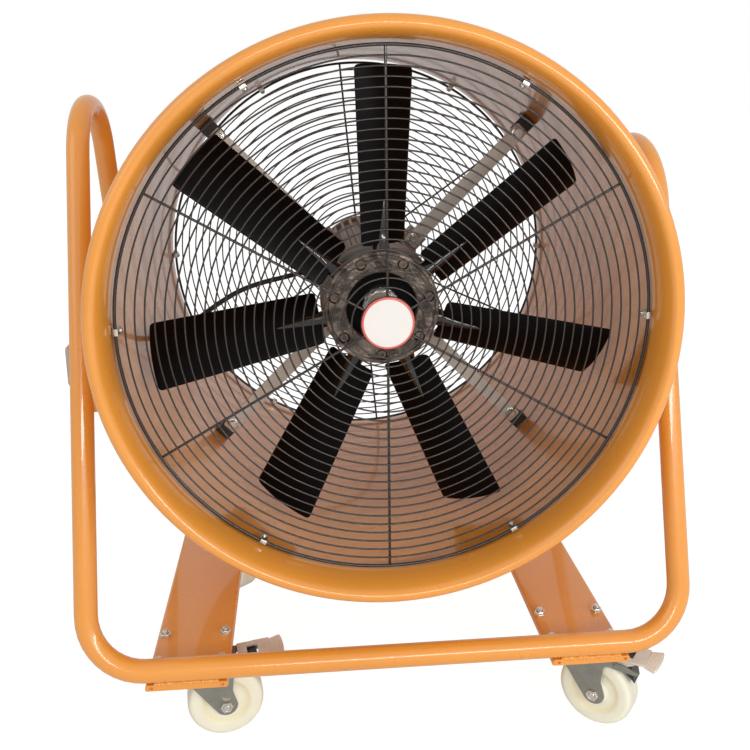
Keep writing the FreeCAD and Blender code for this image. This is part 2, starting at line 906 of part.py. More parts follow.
def channel(side_x):
    half = channel_width / 2
    inner = half - channel_sheet
    bend = channel_bend
    inner_bend = channel_bend - channel_sheet
    bottom = web_top - channel_height
    under = web_top - channel_sheet
    diagonal = math.sqrt(0.5)
    profile = outline(
        vec(-half, 0, bottom),
        vec(-half, 0, web_top - bend),
        (
            vec(-half + bend - bend * diagonal, 0, web_top - bend + bend * diagonal),
            vec(-half + bend, 0, web_top),
        ),
        vec(half - bend, 0, web_top),
        (
            vec(half - bend + bend * diagonal, 0, web_top - bend + bend * diagonal),
            vec(half, 0, web_top - bend),
        ),
        vec(half, 0, bottom),
        vec(inner, 0, bottom),
        vec(inner, 0, under - inner_bend),
        (
            vec(inner - inner_bend + inner_bend * diagonal, 0, under - inner_bend + inner_bend * diagonal),
            vec(inner - inner_bend, 0, under),
        ),
        vec(-inner + inner_bend, 0, under),
        (
            vec(-inner + inner_bend - inner_bend * diagonal, 0, under - inner_bend + inner_bend * diagonal),
            vec(-inner, 0, under - inner_bend),
        ),
        vec(-inner, 0, bottom),
    )
    reach = bar_reach + channel_overhang
    solid = extruded(profile, Y * (2 * reach))
    solid.translate(Y * -reach)
    notches = []
    for end in (-1, 1):
        for side in (-1, 1):
            x = sorted((side * (half - bend), side * (half + overrun)))
            y = sorted((end * (reach - channel_notch), end * (reach + overrun)))
            notches.append(box(x[0], x[1], y[0], y[1], bottom - overrun, web_top - bend))
    solid = solid.cut(notches)
    solid.translate(vec(side_x * channel_offset, -frame_forward, 0))
    return solid


def bolt_places(name):
    places = []
    for x in (-1, 1):
        for y in (-1, 1):
            places.append(caster_place(name) + vec(x * bolt_spacing_x / 2, y * bolt_spacing_y / 2, 0))
    return places


def caster_bolts():
    """Hex heads under the caster plates, and nuts with bolt ends on the channels."""
    pieces = []
    under = caster_height - caster_plate_thickness
    for name in rest_angles:
        for place in bolt_places(name):
            nut = hexagon(caster_bolt_flats, caster_bolt_head, place + Z * web_top, Z)
            stub_start = place + Z * (web_top + caster_bolt_head)
            stub = prism(caster_bolt_radius, screw_side_count, stub_start, Z, caster_bolt_stub)
            pieces.append(nut.fuse(stub))
            pieces.append(hexagon(caster_bolt_flats, caster_bolt_head, place + Z * under, -Z))
    return pieces


# Casters, drawn with the swivel axis on Z and the trail along +X


def caster_plate():
    """Top plate with its pressed race and the riveted king pin."""
    half = caster_plate_length / 2
    under = caster_height - caster_plate_thickness
    ease = channel_bend / 2
    profile = [
        vec(-half, 0, under),
        vec(half, 0, under),
        vec(half, 0, caster_height - ease),
        vec(half - ease, 0, caster_height),
        vec(-half + ease, 0, caster_height),
        vec(-half, 0, caster_height - ease),
    ]
    plate = extruded(polygon(profile), Y * caster_plate_width)
    plate.translate(Y * (-caster_plate_width / 2))
    race_foot = Z * (under - race_depth)
    race = taper(race_radius - race_taper, race_radius, race_side_count, race_foot, Z, race_depth)
    pin_bottom = fork_top_z - fork_sheet - king_pin_head_depth
    pin = prism(king_pin_radius, pin_side_count, Z * pin_bottom, Z, under - pin_bottom)
    head = prism(king_pin_head_radius, pin_side_count, Z * pin_bottom, Z, king_pin_head_depth - seat_gap)
    return plate.fuse([race, pin, head]).removeSplitter()


def caster_plate_at(name):
    solid = caster_plate()
    solid.translate(caster_place(name))
    return solid


def cheek_outline(braked):
    """Side of the fork: a triangle down to the axle boss, and on a braked fork an arm."""
    centre = vec(caster_trail, 0, wheel_radius)
    top_back = vec(-fork_back, 0, fork_top_z)
    slope = math.atan2(top_back.z - centre.z, top_back.x - centre.x)
    far = (top_back - centre).Length
    touch = slope + math.acos(fork_boss_radius / far)
    back_touch = centre + vec(math.cos(touch), 0, math.sin(touch)) * fork_boss_radius
    boss_right = centre + X * fork_boss_radius
    bottom = centre - Z * fork_boss_radius
    top_front = vec(fork_front, 0, fork_top_z)
    if not braked:
        return outline(top_back, back_touch, (bottom, boss_right), top_front)
    low = fork_top_z - fork_arm_depth
    inner = fork_front - fork_boss_radius / 2
    tip = vec(fork_arm_reach, 0, fork_top_z)
    tip_round = fork_arm_depth / 2
    return outline(
        top_back,
        back_touch,
        (bottom, boss_right),
        vec(inner, 0, low - 2 * fork_fillet),
        (
            vec(inner + fork_fillet * (1 - math.sqrt(0.5)), 0, low - fork_fillet * (1 - math.sqrt(0.5))),
            vec(inner + fork_fillet, 0, low),
        ),
        vec(fork_arm_reach - tip_round, 0, low),
        (vec(fork_arm_reach, 0, low + tip_round), vec(fork_arm_reach - tip_round, 0, fork_top_z)),
    )


def fork(braked):
    """Pressed fork: a crown with the lower race, and two cheeks."""
    cheeks = []
    for side in (-1, 1):
        cheek = extruded(cheek_outline(braked), Y * fork_sheet)
        cheek.translate(Y * (cheek_inner if side > 0 else -cheek_outer))
        cheeks.append(cheek)
    crown = box(-fork_back, fork_front, -cheek_outer, cheek_outer, fork_top_z - fork_sheet, fork_top_z)
    race_top = caster_height - caster_plate_thickness - race_depth - seat_gap
    race = prism(race_radius, race_side_count, Z * fork_top_z, Z, race_top - fork_top_z)
    solid = cheeks[0].fuse([cheeks[1], crown, race]).removeSplitter()
    cutters = [bore(king_pin_radius + running_fit, pin_side_count, origin, Z, caster_height)]
    cutters.append(cross_bore(wheel_centre(), axle_radius + close_fit))
    if braked:
        cutters.append(cross_bore(pedal_pivot(), pedal_pin_radius + close_fit))
    return solid.cut(cutters)


def cross_bore(place, radius):
    """Cutter through both cheeks of the fork."""
    return bore(radius, pin_side_count, place - Y * (cheek_outer + overrun), Y, 2 * (cheek_outer + overrun))


def wheel_centre():
    return vec(caster_trail, 0, wheel_radius)


def wheel():
    """Solid wheel with round shoulders, a recess on each side and a plain bore."""
    half = wheel_width / 2
    rim = wheel_radius - wheel_rim
    hub = cheek_inner - seat_gap
    fit = axle_radius + running_fit
    shoulder = []
    for share in shoulder_shares:
        angle = math.pi / 2 * share
        cut_in = wheel_shoulder * (1 - math.cos(angle))
        cut_up = wheel_shoulder * (1 - math.sin(angle))
        shoulder.append((wheel_radius - cut_in, half - cut_up))
    right = shoulder + [
        (rim, half),
        (rim - wheel_recess, half - wheel_recess),
        (wheel_hub_radius, half - wheel_recess),
        (wheel_hub_radius, hub),
        (fit, hub),
    ]
    left = [(radius, -y) for radius, y in right[::-1]]
    return flat_turned(right + left, wheel_side_count, wheel_centre())


def axle():
    """Axle bolt through the fork, with its nut."""
    start = wheel_centre() - Y * cheek_outer
    shank = prism(axle_radius, pin_side_count, start, Y, 2 * cheek_outer)
    head = hexagon(axle_head_flats, axle_head_depth, start, -Y)
    nut = hexagon(axle_head_flats, axle_head_depth, start + Y * (2 * cheek_outer), Y)
    return shank.fuse([head, nut])


def pedal_pivot():
    return vec(pedal_pivot_reach, 0, pivot_z)


def pedal():
    """Sprung lever between the fork's arms: frame with a window, brake shoe and foot pad."""
    half = pedal_width / 2
    base = pivot_z + pedal_pin_radius + pedal_sheet
    end = fork_arm_reach + pedal_sheet
    top = [
        vec(pedal_start, -half, base),
        vec(end, -half, base + pedal_rise),
        vec(end, -half, base + pedal_rise + pedal_sheet),
        vec(pedal_start, -half, base + pedal_sheet),
    ]
    plate = extruded(polygon(top), Y * pedal_width)
    window_start = pedal_pivot_reach + pedal_pin_radius + pedal_sheet
    window_end = window_start + window_length
    window = box(window_start, window_end, -window_width / 2, window_width / 2, pivot_z, caster_height)
    sides = []
    flange = [
        vec(pedal_start, 0, pivot_z - pedal_pin_radius - pedal_sheet),
        vec(pedal_pivot_reach + pedal_pin_radius + pedal_sheet, 0, pivot_z - pedal_pin_radius - pedal_sheet),
        vec(fork_arm_reach - fork_arm_depth, 0, base + pedal_rise / 2),
        vec(pedal_start, 0, base + pedal_sheet / 2),
    ]
    for y in (-half, half - pedal_sheet):
        side = extruded(polygon(flange), Y * pedal_sheet)
        side.translate(Y * y)
        sides.append(side)
    pin = prism(pedal_pin_radius, pin_side_count, pedal_pivot() - Y * cheek_outer, Y, 2 * cheek_outer)
    foot = [
        vec(end, -pad_inner_width / 2, 0),
        vec(end + pad_depth * pad_straight_share, -pad_outer_width / 2, 0),
        (vec(end + pad_depth, 0, 0), vec(end + pad_depth * pad_straight_share, pad_outer_width / 2, 0)),
        vec(end, pad_inner_width / 2, 0),
    ]
    pad = extruded(outline(*foot), Z * pad_thickness)
    pad.translate(Z * (base + pedal_rise + pedal_sheet - pad_thickness))
    return plate.cut(window).fuse(sides + [pin, pad, brake_shoe(base)]).removeSplitter()


def brake_shoe(plate_z):
    """Block shaped to the wheel in the pressed pose, turned back to the raised pose."""
    half = shoe_width / 2
    start = pedal_pivot_reach + pedal_pin_radius
    block = box(start, start + shoe_length, -half, half, wheel_radius, plate_z - pedal_sheet)
    corner = wheel_radius / math.cos(math.pi / wheel_side_count)
    tyre = bore(corner + shoe_gap, wheel_side_count, wheel_centre() - Y * (wheel_width / 2), Y, wheel_width)
    block = block.cut(tyre)
    block.rotate(pedal_pivot(), Y, -pedal_stroke)
    return block


# Control box on the drum's left side, carried by a folded bracket


def box_slab(x0, depth):
    """Slice of the box with its long edges rounded."""
    half_y = box_length / 2
    half_z = box_height / 2
    cut = box_round * (1 - math.sqrt(0.5))
    wire = outline(
        vec(x0, half_y - box_round, half_z),
        (vec(x0, half_y - cut, half_z - cut), vec(x0, half_y, half_z - box_round)),
        vec(x0, half_y, box_round - half_z),
        (vec(x0, half_y - cut, cut - half_z), vec(x0, half_y - box_round, -half_z)),
        vec(x0, box_round - half_y, -half_z),
        (vec(x0, cut - half_y, cut - half_z), vec(x0, -half_y, box_round - half_z)),
        vec(x0, -half_y, half_z - box_round),
        (vec(x0, cut - half_y, half_z - cut), vec(x0, box_round - half_y, half_z)),
    )
    solid = extruded(wire, X * depth)
    solid.translate(vec(0, box_middle, box_z))
    return solid


def control_box():
    x0 = box_inner_x - box_depth
    return box_slab(x0, box_depth).cut(rocker_pocket())


def control_box_lid():
    x0 = box_inner_x - box_depth - box_lid
    return box_slab(x0, box_lid).cut(rocker_pocket())


def rocker_pocket():
    x0 = -box_outer_reach
    width = rocker_width + 2 * seat_gap
    length = rocker_length + 2 * rocker_end_gap
    corner = vec(x0 - overrun, box_middle - width / 2, box_z - length / 2)
    return Part.makeBox(overrun + rocker_pocket_depth, width, length, corner)


def rocker_pivot():
    return vec(rocker_sink - box_outer_reach, box_middle, box_z)


def switch_rocker():
    """Rocker with a shallow dished face, resting with one end pressed in."""
    pivot = rocker_pivot()
    half = rocker_length / 2
    profile = [
        pivot + vec(0, 0, -half),
        pivot + vec(-rocker_depth, 0, -half),
        pivot + vec(-rocker_depth * rocker_dish_share, 0, 0),
        pivot + vec(-rocker_depth, 0, half),
        pivot + vec(0, 0, half),
    ]
    solid = extruded(polygon(profile), Y * rocker_width)
    solid.translate(Y * (-rocker_width / 2))
    solid.rotate(pivot, Y, rocker_tilt)
    return solid


def box_bracket():
    """Back plate under the box with two arms that reach the drum wall."""
    x0 = box_inner_x
    y0 = box_middle - box_length / 2 + box_bracket_inset
    y1 = box_middle + box_length / 2 - box_bracket_inset
    z0 = box_z - box_height / 2 + box_bracket_inset / 2
    z1 = box_z + box_height / 2 - box_bracket_inset / 2
    plate = box(x0, x0 + box_bracket_sheet, y0, y1, z0, z1)
    gland_face = vec(x0 - overrun, lead_points[0][1], lead_points[0][2])
    hole = bore(gland_radius + seat_gap, gland_side_count, gland_face, X, box_bracket_sheet + 2 * overrun)
    arms = []
    for y in (y0, y1 - box_bracket_sheet):
        arms.append(box(x0, -drum_bore_radius / 2, y, y + box_bracket_sheet, z0, z1))
    solid = plate.cut(hole).fuse(arms).removeSplitter()
    return solid.cut(drum_core(drum_outer_radius))


# All pieces

save("drum_shell", drum_shell())
save("front_guard", guard(-1, front_spoke_angle))
save("rear_guard", guard(1, rear_spoke_angle))
save("guard_badge", guard_badge())
save("guard_clips", *guard_clips())

save("hub_front", hub_front())
save("hub_rear", hub_rear())
save("hub_screws", *hub_screws())
save("hub_cap", hub_cap())
first_blade = blade()
for i in range(blade_count):
    save("blade_" + str(i + 1), about_axis(first_blade, blade_turn(i)))
save("motor_shaft", motor_shaft())

save("motor_housing", motor_housing())
save("motor_end_shields", *motor_end_shields())
save("motor_bearings", *motor_bearings())
save("motor_arms", *motor_arms())
save("arm_brackets", *arm_brackets())
save("arm_bolts", *arm_bolts())
save("motor_lead", motor_lead())
save("cable_glands", *cable_glands())

save("frame_bar_front", bar(-1))
save("frame_bar_rear", bar(1))
for side_x, side in ((-1, "left"), (1, "right")):
    save("frame_leg_front_" + side, leg(side_x, -1))
    save("frame_leg_rear_" + side, leg(side_x, 1))
    save("handle_loop_" + side, handle_loop(side_x))
    save("base_channel_" + side, channel(side_x))
save("drum_lugs", *drum_lugs())
save("caster_bolts", *caster_bolts())

for name in rest_angles:
    braked = name.startswith("front")
    save("caster_plate_" + name, caster_plate_at(name))
    save("caster_fork_" + name, at_caster(fork(braked), name))
    save("caster_wheel_" + name, at_caster(wheel(), name))
    save("caster_axle_" + name, at_caster(axle(), name))
    if braked:
        save("brake_pedal_" + name, at_caster(pedal(), name))

save("control_box", control_box())
save("control_box_lid", control_box_lid())
save("switch_rocker", switch_rocker())
save("box_bracket", box_bracket())
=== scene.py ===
"""Drum ventilator on casters: an add-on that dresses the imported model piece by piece."""
import math

import bmesh
import bpy
from bpy.props import FloatProperty, FloatVectorProperty, IntProperty, PointerProperty
from bpy.types import Operator, Panel, PropertyGroup
from mathutils import Matrix, Vector


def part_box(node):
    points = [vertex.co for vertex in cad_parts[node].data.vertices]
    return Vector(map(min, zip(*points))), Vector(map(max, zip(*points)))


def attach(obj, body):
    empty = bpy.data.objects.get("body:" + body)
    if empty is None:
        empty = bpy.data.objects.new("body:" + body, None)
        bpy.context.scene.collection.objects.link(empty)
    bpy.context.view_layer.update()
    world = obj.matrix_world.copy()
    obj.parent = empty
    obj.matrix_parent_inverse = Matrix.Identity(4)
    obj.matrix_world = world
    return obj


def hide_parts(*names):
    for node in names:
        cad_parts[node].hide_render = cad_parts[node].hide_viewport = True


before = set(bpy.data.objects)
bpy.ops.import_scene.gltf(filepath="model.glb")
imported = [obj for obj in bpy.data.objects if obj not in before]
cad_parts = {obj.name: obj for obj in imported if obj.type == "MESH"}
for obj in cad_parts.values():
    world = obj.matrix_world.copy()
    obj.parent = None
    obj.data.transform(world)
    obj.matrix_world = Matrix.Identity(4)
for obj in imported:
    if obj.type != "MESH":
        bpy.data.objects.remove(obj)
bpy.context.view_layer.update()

bl_info = {
    "name": "Drum Ventilator",
    "version": (1, 0, 0),
    "blender": (4, 5, 0),
    "location": "View3D > Sidebar > Ventilator",
    "description": "Builds the visible pieces of a portable drum ventilator over its packed model",
    "category": "Object",
}

MM = 0.001
WELD = 0.001 * MM
X = Vector((1, 0, 0))
Y = Vector((0, 1, 0))
Z = Vector((0, 0, 1))
QUARTER = math.pi / 2
SIGNS = [(a, b) for a in (-1, 1) for b in (-1, 1)]


def middle(name):
    """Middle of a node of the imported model."""
    low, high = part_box(name)
    return (Vector(low) + Vector(high)) / 2


DRUM = middle("drum_shell")
CORNERS = ("front_left", "front_right", "rear_left", "rear_right")


# Settings


def size(label, text, mm):
    return FloatProperty(name=label, description=text, default=mm * MM,
                         subtype="DISTANCE", unit="LENGTH", precision=5)


def turn(label, text, degrees):
    return FloatProperty(name=label, description=text, default=math.radians(degrees),
                         subtype="ANGLE", unit="ROTATION")


def number(label, text, value):
    return IntProperty(name=label, description=text, default=value, min=1)


def share(label, text, value):
    return FloatProperty(name=label, description=text, default=value)


def tint(label, text, *levels):
    """Colour written as 8 bit sRGB, kept as linear."""
    linear = [((c / 255 + 0.055) / 1.055) ** 2.4 if c > 10 else c / 255 / 12.92 for c in levels]
    return FloatVectorProperty(name=label, description=text, default=linear, size=3,
                               subtype="COLOR", min=0, max=1)


class VentilatorDrum(PropertyGroup):
    bore: size("Bore radius", "Inside of the drum", 316)
    wall: size("Wall", "Sheet thickness", 2.5)
    length: size("Length", "Rim to rim", 600)
    rim: size("Rim radius", "Outside of the rolled rim", 339.9)
    flare: size("Flare depth", "How far in the mouth starts to open", 46)
    bead: size("Bead depth", "Depth of the rolled rim", 12)
    roll: size("Roll", "Radius of the rolled rim", 10)


class VentilatorGuard(PropertyGroup):
    rings: number("Rings", "Thin rings of one guard", 25)
    first: size("First ring", "Radius of the innermost ring", 31)
    pitch: size("Pitch", "Distance between rings", 11.2)
    wire: size("Wire", "Thickness of a ring", 2.1)
    rod: size("Rod", "Thickness of the spokes", 3.2)
    outer: size("Outer ring", "Radius of the thick outer ring", 311)
    outer_wire: size("Outer wire", "Thickness of the outer ring", 4)
    inset: size("Inset", "Depth of a guard behind its rim", 44)
    spokes: number("Spokes", "Rods behind the rings", 6)
    front_turn: turn("Front turn", "Direction of the front guard's first spoke", 30)
    rear_turn: turn("Rear turn", "Direction of the rear guard's first spoke", 35)
    badge: size("Disc radius", "Plain disc in the middle of the front guard", 31)


class VentilatorImpeller(PropertyGroup):
    blades: number("Blades", "Number of blades", 7)
    first: turn("First blade", "Direction of the first blade from the right, as seen from the front", 89.4)
    tip: size("Tip radius", "Reach of the blades", 294)
    root: size("Root radius", "Start of the blade's paddle", 78)
    tip_chord: size("Tip chord", "Width of a blade at its tip", 92)
    root_chord: size("Root chord", "Width of a blade at its root", 70)
    pitch: turn("Pitch", "Slope of the blades to their plane of turning", 35.3)
    camber: share("Camber", "Bulge of a blade as a share of its chord", 0.055)
    setback: size("Setback", "Blade plane behind the front rim", 134)
    hub: size("Hub radius", "Outside of the clamping rings", 72)
    window: size("Window radius", "Inside of the clamping rings", 44.6)
    half_depth: size("Ring depth", "Depth of one clamping ring", 15)
    screws: size("Screw circle", "Radius of the circle of clamping screws", 60.5)


class VentilatorFrame(PropertyGroup):
    tube: size("Tube radius", "Outside of the bent tube", 14.3)
    half_width: size("Half width", "Middle of the drum to a leg", 376.9)
    forward: size("Forward", "How far the frame's middle lies toward the front", 4)
    half_depth: size("Half depth", "Half the legs' spread at the drum's axis", 135.2)
    lean: share("Lean", "Slope of the legs", 0.30)
    corner: size("Corner radius", "Bend from a bar into a leg", 72)
    overhang: size("Overhang", "Base channel in front of a bar's middle", 9)
    left_loop: size("Left loop", "Bend radius of the left handle loop", 81.3)
    right_loop: size("Right loop", "Bend radius of the right handle loop", 105.9)


class VentilatorCaster(PropertyGroup):
    wheel: size("Wheel radius", "Outside of the tread", 50)
    width: size("Wheel width", "Width of a wheel", 36)
    trail: size("Trail", "Swivel axis to axle", 38)
    boss: size("Boss", "Round end of a cheek about the axle", 15)
    height: size("Height", "Floor to the top of the plate", 124.6)
    gap: size("Fork gap", "Room between the cheeks", 41)
    sheet: size("Sheet", "Sheet of fork and plate", 3)
    pivot_reach: size("Pedal pivot", "Swivel axis to the pedal's pin", 64)
    pivot_drop: size("Pedal drop", "Pedal's pin under the plate's top", 22)


class VentilatorColours(PropertyGroup):
    coat: tint("Coat", "Powder coat of drum and frame", 228, 149, 57)
    wire: tint("Wire", "Coating of the guards", 36, 29, 25)
    blade: tint("Blade", "Paint of the blades", 11, 8, 8)
    cast: tint("Cast hub", "Cast metal of the hub", 122, 108, 97)
    motor: tint("Motor", "Paint of the motor", 150, 142, 130)
    zinc: tint("Zinc", "Plated steel of the casters", 146, 147, 139)
    steel: tint("Steel", "Pale flat steel of the arms", 206, 200, 190)
    nylon: tint("Nylon", "Cream nylon of the wheels", 240, 236, 214)
    pedal: tint("Pedal", "Brake pedals", 228, 221, 208)
    case: tint("Case", "Control box", 186, 172, 158)
    bright: tint("Bright zinc", "Nuts, bolt heads and guard clips", 214, 212, 204)
    pad: tint("Foot pad", "Pads of the brake pedals", 222, 214, 198)
    rubber: tint("Rubber", "Lead and glands", 34, 33, 33)
    disc: tint("Disc", "Plain guard disc", 226, 221, 214)
    disc_edge: tint("Disc edge", "Edge of the guard disc", 214, 96, 90)


class VentilatorStage(PropertyGroup):
    camera_place: FloatVectorProperty(
        name="Camera place", description="Camera from the middle of the drum's foot on the floor",
        default=(-0.095, -1.2475, 0.8282), size=3, subtype="TRANSLATION", unit="LENGTH")
    yaw: turn("Yaw", "Camera turned to the right", 4.62)
    pitch: turn("Pitch", "Camera turned down", 13.53)
    roll: turn("Roll", "Camera rolled", 0.71)
    lens: share("Lens", "Focal length in millimetres on a 36 mm sensor", 42.44)
    shift: share("Shift", "Vertical shift of the frame", -0.0867)
    key: share("Key light", "Strength of the long light in front", 38.0)
    fill: share("Fill light", "Strength of the side light", 15.0)
    sky: share("Surroundings", "Strength of the white surroundings", 0.64)


# Mesh tools: a shape is a pair of points and faces


def joined(*parts):
    points, faces = [], []
    for part_points, part_faces in parts:
        start = len(points)
        points.extend(part_points)
        faces.extend([tuple(i + start for i in face) for face in part_faces])
    return points, faces


def moved(part, matrix):
    return [matrix @ Vector(p) for p in part[0]], part[1]


def skin(rings, closed=False):
    """Quads between rings of matching points; an open row of rings is capped."""
    count = len(rings[0])
    points = [Vector(p) for ring in rings for p in ring]
    faces = []
    for k in range(len(rings) if closed else len(rings) - 1):
        a, b = k * count, ((k + 1) % len(rings)) * count
        for i in range(count):
            j = (i + 1) % count
            faces.append((a + i, a + j, b + j, b + i))
    if not closed:
        faces.append(tuple(range(count))[::-1])
        faces.append(tuple(range((len(rings) - 1) * count, len(rings) * count)))
    return points, faces


def side_axes(axis):
    axis = Vector(axis).normalized()
    side = X if abs(axis.dot(X)) < 0.7 else Y
    side = (side - axis * side.dot(axis)).normalized()
    return axis, side, axis.cross(side)


def circle(centre, side, other, radius, count):
    return [centre + (side * math.cos(a) + other * math.sin(a)) * radius
            for a in [2 * math.pi * i / count for i in range(count)]]


def lathe(profile, sides, centre, axis=Y, closed=True):
    """Turned shape from (radius, along) pairs in a closed loop."""
    axis, side, other = side_axes(axis)
    rings = [circle(centre + axis * along, side, other, radius, sides) for radius, along in profile]
    return skin(rings, closed)


def spun(profile, sides, base, axis):
    """Turned solid: an open profile with a cap at both ends."""
    return lathe(profile, sides, Vector(base), axis, closed=False)


def rod(radius, start, end, sides=24):
    travel = Vector(end) - Vector(start)
    return spun([(radius, 0), (radius, travel.length)], sides, start, travel)


def tube(points, radius, sides):
    """Round tube along smooth points, with its frame carried from point to point."""
    points = [Vector(p) for p in points]
    side = side_axes(points[1] - points[0])[1]
    rings = []
    for i, p in enumerate(points):
        forward = (points[min(i + 1, len(points) - 1)] - points[max(i - 1, 0)]).normalized()
        side = (side - forward * side.dot(forward)).normalized()
        rings.append(circle(p, side, forward.cross(side), radius, sides))
    return skin(rings)


def slab(outline, travel):
    """Flat outline pushed along a vector."""
    near = [Vector(p) for p in outline]
    return skin([near, [p + Vector(travel) for p in near]])


def block(low, high):
    (x0, y0, z0), (x1, y1, z1) = low, high
    return slab([(x0, y0, z0), (x1, y0, z0), (x1, y1, z0), (x0, y1, z0)], (0, 0, z1 - z0))


def hexagon(flats, depth, base, axis):
    corner = flats / math.sqrt(3)
    return spun([(corner, 0), (corner, depth)], 6, base, axis)


def bolt_head(flats, depth, base, axis):
    """Hexagonal head with a chamfered crown."""
    corner = flats / math.sqrt(3)
    return spun([(corner, 0), (corner, depth * 0.82), (corner * 0.86, depth)], 6, base, axis)


def nut(flats, depth, base, axis):
    """Hexagonal nut, chamfered outside and at its bore."""
    axis, side, other = side_axes(axis)
    base = Vector(base)
    bore, mouth, chamfer, half, count = 0.0043, 0.0050, 0.0007, flats / 2, 24
    rings = []
    for reach, along, six_sided in (
            (bore, 0, False), (half, 0, True), (half, depth * 0.8, True), (half * 0.9, depth, True),
            (mouth, depth, False), (bore, depth - chamfer, False)):
        ring = []
        for k in range(count):
            a = 2 * math.pi * k / count
            far = reach / math.cos(a % (math.pi / 3) - math.pi / 6) if six_sided else reach
            ring.append(base + axis * along + (side * math.cos(a) + other * math.sin(a)) * far)
        rings.append(ring)
    return skin(rings, closed=True)


def arc(centre, start, forward, angle, steps):
    """Points on an arc that leaves the start along forward."""
    out = Vector(start) - Vector(centre)
    forward = Vector(forward).normalized() * out.length
    return [Vector(centre) + out * math.cos(angle * i / steps) + forward * math.sin(angle * i / steps)
            for i in range(steps + 1)]


def rounded(points, radius, steps=6):
    """Closed outline with each corner rounded as far as its sides allow."""
    points = [Vector(p) for p in points]
    most = 0.48
    out = []
    for i, p in enumerate(points):
        a, b = points[i - 1] - p, points[(i + 1) % len(points)] - p
        half = a.angle(b) / 2
        want = radius[i] if isinstance(radius, (list, tuple)) else radius
        cut = min(want / math.tan(half), a.length * most, b.length * most) if want else 0
        if cut < WELD:
            out.append(p)
            continue
        a.normalize()
        b.normalize()
        real = cut * math.tan(half)
        centre = p + (a + b).normalized() * (real / math.sin(half))
        u = (p + a * cut - centre).normalized()
        v = (p + b * cut - centre).normalized()
        sweep = math.pi - 2 * half
        for k in range(steps + 1):
            t = k / steps
            d = u * math.sin((1 - t) * sweep) + v * math.sin(t * sweep)
            out.append(centre + d.normalized() * real)
    return out


def about_drum(angle):
    """Turn about the drum's axis, counter-clockwise seen from the front."""
    return Matrix.Translation(DRUM) @ Matrix.Rotation(-angle, 4, "Y") @ Matrix.Translation(-DRUM)


# Pieces from shapes


def linked(name, data):
    obj = bpy.data.objects.new(name, data)
    bpy.context.scene.collection.objects.link(obj)
    return obj


def bare(name, part):
    """Object from points and faces, before it is dressed."""
    mesh = bpy.data.meshes.new(name)
    mesh.from_pydata([tuple(p) for p in part[0]], [], part[1])
    bm = bmesh.new()
    bm.from_mesh(mesh)
    bmesh.ops.remove_doubles(bm, verts=bm.verts, dist=WELD)
    bmesh.ops.recalc_face_normals(bm, faces=bm.faces)
    bm.to_mesh(mesh)
    bm.free()
    return linked(name, mesh)


def dress(obj, body, material, nodes=(), bevel=0, sharp=38, like=None):
    """Finish, smooth shading and eased edges; rides a body and replaces nodes. The argument like is not used."""
    mesh = obj.data
    mesh.polygons.foreach_set("use_smooth", [True] * len(mesh.polygons))
    mesh.set_sharp_from_angle(angle=math.radians(sharp))
    mesh.materials.clear()
    mesh.materials.append(finish(material) if isinstance(material, str) else material)
    if bevel:
        edge = obj.modifiers.new("Edges", "BEVEL")
        edge.width = bevel
        edge.segments = 2
        edge.limit_method = "ANGLE"
        edge.angle_limit = math.radians(35)
        edge.harden_normals = True
    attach(obj, body)
    if nodes:
        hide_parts(*nodes)
    return obj


def add_piece(name, part, *dressing, **more):
    """New object from points and faces, dressed."""
    return dress(bare(name, part), *dressing, **more)


def eased(name, body, material, bevel):
    """A node's own shape with its flats cleaned and its edges eased."""
    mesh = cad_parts[name].data.copy()
    mesh.name = name + "_eased"
    bm = bmesh.new()
    bm.from_mesh(mesh)
    bmesh.ops.remove_doubles(bm, verts=bm.verts, dist=WELD)
    bmesh.ops.dissolve_limit(bm, angle_limit=math.radians(1), verts=bm.verts, edges=bm.edges)
    bm.to_mesh(mesh)
    bm.free()
    return dress(linked(name + "_eased", mesh), body, material, (name,), bevel)


def baked(obj):
    """Plain mesh of what the object's modifiers make, with the modifiers gone."""
    bpy.context.view_layer.update()
    graph = bpy.context.evaluated_depsgraph_get()
    mesh = bpy.data.meshes.new_from_object(obj.evaluated_get(graph))
    obj.modifiers.clear()
    old = obj.data
    obj.data = mesh
    bpy.data.meshes.remove(old)
    return obj


def cut_away(obj, cutter):
    """Takes the cutter's shape out of the object."""
    tool = bare("cutter", cutter)
    mesh = tool.data
    cut = obj.modifiers.new("Cut", "BOOLEAN")
    cut.object = tool
    cut.operation = "DIFFERENCE"
    cut.solver = "EXACT"
    baked(obj)
    bpy.data.objects.remove(tool)
    bpy.data.meshes.remove(mesh)
    return obj


# Node tools


def node(tree, kind, links=None, **values):
    """Adds a node; links maps input names or numbers to sockets or values."""
    n = tree.nodes.new(kind)
    for key, value in values.items():
        setattr(n, key, value)
    for key, value in (links or {}).items():
        if isinstance(value, bpy.types.NodeSocket):
            tree.links.new(value, n.inputs[key])
        else:
            n.inputs[key].default_value = value
    return n


def math_node(tree, operation, a, b):
    return node(tree, "ShaderNodeMath", {0: a, 1: b}, operation=operation).outputs[0]


def vector_node(tree, operation, links, output=0):
    return node(tree, "ShaderNodeVectorMath", links, operation=operation).outputs[output]


def mix_colour(tree, factor, a, b, blend="MIX"):
    links = {0: factor, 6: a, 7: b}
    return node(tree, "ShaderNodeMix", links, data_type="RGBA", blend_type=blend).outputs[2]


def noise(tree, place, scale, detail, rough=0.5):
    links = {"Vector": place, "Scale": scale, "Detail": detail, "Roughness": rough}
    return node(tree, "ShaderNodeTexNoise", links).outputs["Fac"]


def spread(tree, value, low, high, to_low=0.0, to_high=1.0):
    return node(tree, "ShaderNodeMapRange", {0: value, 1: low, 2: high, 3: to_low, 4: to_high}).outputs[0]


def xyz(tree, links):
    return node(tree, "ShaderNodeCombineXYZ", links).outputs[0]


def object_place(tree):
    return node(tree, "ShaderNodeTexCoord").outputs["Object"]


